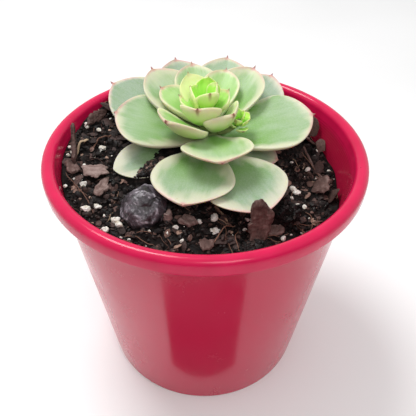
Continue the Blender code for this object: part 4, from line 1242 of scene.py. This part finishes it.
HEAP_BODY = 1.0 * MM
HEAP_LOW, HEAP_HIGH = (-40.0, -12.5), (-9.0, 19.0)
HEAP_STEPS = (120, 122)


def heap_on_leaf(tree, upper_tree):
    """The mix on the half-buried leaf: a rough, closed layer that dips into the leaf where it ends."""
    columns, rows = HEAP_STEPS
    points, faces = [], []
    for j in range(rows + 1):
        for i in range(columns + 1):
            x = (HEAP_LOW[0] + (HEAP_HIGH[0] - HEAP_LOW[0]) * i / columns) * MM
            y = (HEAP_LOW[1] + (HEAP_HIGH[1] - HEAP_LOW[1]) * j / rows) * MM
            hit = drop_on(tree, x, y)
            here = Vector((x, y, 0.0))
            rough = noise.noise(here / (2.4 * MM)) * 0.9 + noise.noise(here / (1.0 * MM)) * 0.5
            if hit is None:
                height = rough_height(x, y) - 0.6 * MM
            else:
                height = hit.z + (over_leaf(x, y) * 2.2 - 1.1 + rough) * MM
            points.append(Vector((x, y, under(upper_tree, x, y, height, 0.5 * MM, 3 * MM))))
    across, bottom = columns + 1, len(points)
    points += [point + DOWN * HEAP_BODY for point in points]
    for first in (0, bottom):
        for j in range(rows):
            for i in range(columns):
                corner = first + j * across + i
                faces.append((corner, corner + 1, corner + 1 + across, corner + across))
    rim = list(range(across)) + [j * across + columns for j in range(1, rows + 1)]
    rim += [rows * across + i for i in reversed(range(columns))]
    rim += [j * across for j in reversed(range(1, rows))]
    for one, two in zip(rim, rim[1:] + rim[:1]):
        faces.append((one, two, two + bottom, one + bottom))
    return add_piece("heap_on_leaf", mesh_from("heap_on_leaf", points, faces), SOIL)


SMALL_LUMPS = [unit_lump(seed, 1, 5, 0.10) for seed in range(12)]
CRUMB_LUMPS = [unit_lump(seed, 2, 7, 0.05) for seed in range(10)]
FLAKE_LUMPS = [unit_lump(seed + 40, 2, 6, 0.06) for seed in range(8)]
GRAIN_LUMPS = [unit_lump(seed + 80, 3, 3, 0.10) for seed in range(5)]
small = scatter(5200, 11, (0.7 * MM, 2.6 * MM), (0.5, 0.9), (0.35, 0.24))
joined_lumps("soil_crumbs", SMALL_LUMPS, small, CRUMB, 25)
larger = scatter(760, 12, (1.8 * MM, 5.0 * MM), (0.4, 0.8), (0.36, 0.24))
joined_lumps("soil_lumps", CRUMB_LUMPS, larger, CRUMB, 28)
flat_bits = scatter(900, 13, (2.0 * MM, 6.5 * MM), (0.10, 0.26), (0.38, 0.30), tilt=34)
joined_lumps("bark_flakes_scattered", FLAKE_LUMPS, flat_bits, FLAKE, 32)
big_bits = scatter(150, 14, (4.5 * MM, 9.5 * MM), (0.12, 0.26), (0.40, 0.26), tilt=26)
joined_lumps("bark_flakes_large", FLAKE_LUMPS, big_bits, FLAKE, 32)
PLATE_LUMPS = [unit_lump(seed + 120, 4, 9, 0.05) for seed in range(4)]
joined_lumps("bark_plates", PLATE_LUMPS, placed_plates(), FLAKE, 32)
heaped = mound(22.5 * MM, -42.0 * MM, 8 * MM, 6.5 * MM, 900, 19, (0.9 * MM, 3.0 * MM), (0.36, 0.26))
joined_lumps("soil_mound", CRUMB_LUMPS, heaped, CRUMB, 28)
grains = placed_grains() + scatter(190, 15, (0.5 * MM, 2.0 * MM), (0.6, 0.9), (0.5, 0.1), raise_by=0.3)
joined_lumps("perlite_scattered", GRAIN_LUMPS, grains, PERLITE, 180)
buried = tree_of([piece for piece in plant if "half_buried" in piece.name])
others = tree_of([piece for piece in plant if "half_buried" not in piece.name])
heap = tree_of([heap_on_leaf(buried, others)])
fallen = settle(3600, 16, heap, (-42, -12), (-8, 18), (0.8 * MM, 3.4 * MM), (0.50, 0.26), over_leaf)
joined_lumps("soil_on_leaf", SMALL_LUMPS, fallen, CRUMB, 25)
clump = tree_of([piece for piece in litter if "clump" in piece.name])
broken = settle(900, 17, clump, (22, -31), (44, -12), (0.8 * MM, 3.4 * MM), (0.24, 0.18), lambda x, y: 1.0)
joined_lumps("soil_on_clump", SMALL_LUMPS, broken, CRUMB, 25)
strand_mesh("root_fibres", random_fibres(150, 18) + [placed_strand(*strand) for strand in STRANDS])

# ---- Stage, light and camera ----


def make_floor():
    side = 30.0
    corners = [(-side, -side, 0.0), (side, -side, 0.0), (side, side, 0.0), (-side, side, 0.0)]
    mesh = mesh_from("floor", corners, [(0, 1, 2, 3)])
    pale = (0.86, 0.86, 0.86), (0.90, 0.90, 0.90)
    mesh.materials.append(cloudy_material("pale_floor", 0.3, 180 * MM, *pale, 0.6, 0.7))
    floor = new_object("floor", mesh)
    floor.location.z = -0.05 * MM


def make_flag():
    """A dark card on the floor before the pot, which only the pot's gloss shows."""
    corners = [(-24, -60), (24, -60), (58, -104), (46, -128), (-46, -128), (-58, -104)]
    points = [Vector((x * MM, y * MM, 0.4 * MM)) for x, y in corners]
    card = new_object("flag", mesh_from("flag", points, [tuple(range(len(points)))]))
    dark = (0.060, 0.045, 0.042), (0.140, 0.100, 0.090)
    card.data.materials.append(cloudy_material("dark_card", 0.2, 60 * MM, *dark, 0.9, 0.9))
    card.visible_camera = False
    card.visible_diffuse = False
    card.visible_shadow = False


def make_world(front, back, overhead):
    """Soft light from overhead and from the back; the horizon in front of the pot is dimmer."""
    world = bpy.data.worlds.new("studio")
    bpy.context.scene.world = world
    world.use_nodes = True
    g = Graph(world.node_tree)
    way = g.split(g.node("TexCoord").outputs["Generated"])
    horizon = g.ease(way[1], -0.75, 0.35, front, back)
    background = g.tree.nodes["Background"]
    g.put(background.inputs["Color"], (1.0, 1.0, 1.0))
    g.put(background.inputs["Strength"], g.ease(way[2], 0.0, 0.9, horizon, overhead))


def add_area(name, place, target, size, power):
    data = bpy.data.lights.new(name, "AREA")
    data.shape = "DISK"
    data.size = size
    data.energy = power
    light = new_object(name, data)
    light.location = place
    light.rotation_euler = (Vector(target) - Vector(place)).to_track_quat("-Z", "Y").to_euler()


CAMERA_TARGET = Vector((1.42, 0.0, 83.77)) * MM
CAMERA_ELEVATION = 41.08
CAMERA_DISTANCE = 261.64 * MM
CAMERA_ROLL = 0.714
CAMERA_LENS = 47.475


def make_camera():
    """The camera in front of the pot, looking down at it."""
    tilt = math.radians(CAMERA_ELEVATION)
    back = Vector((0.0, -math.cos(tilt), math.sin(tilt)))
    right = Vector((1.0, 0.0, 0.0))
    up = back.cross(right)
    turn = Matrix((right, up, back)).transposed().to_4x4()
    data = bpy.data.cameras.new("camera")
    data.lens = CAMERA_LENS
    data.sensor_width = 36.0
    data.clip_start = 0.01
    data.clip_end = 100.0
    camera = new_object("camera", data)
    roll = Matrix.Rotation(math.radians(CAMERA_ROLL), 4, "Z")
    camera.matrix_world = Matrix.Translation(CAMERA_TARGET + back * CAMERA_DISTANCE) @ turn @ roll
    bpy.context.scene.camera = camera


make_floor()
make_flag()
make_world(0.10, 0.80, 0.74)
add_area("key", (-0.25, 0.20, 0.85), (0, 0, 0.08), 0.34, 4.4)
add_area("fill", (0.15, -0.55, 0.70), (0, 0, 0.10), 0.35, 1.6)
make_camera()
bpy.context.scene.view_settings.view_transform = "Standard"
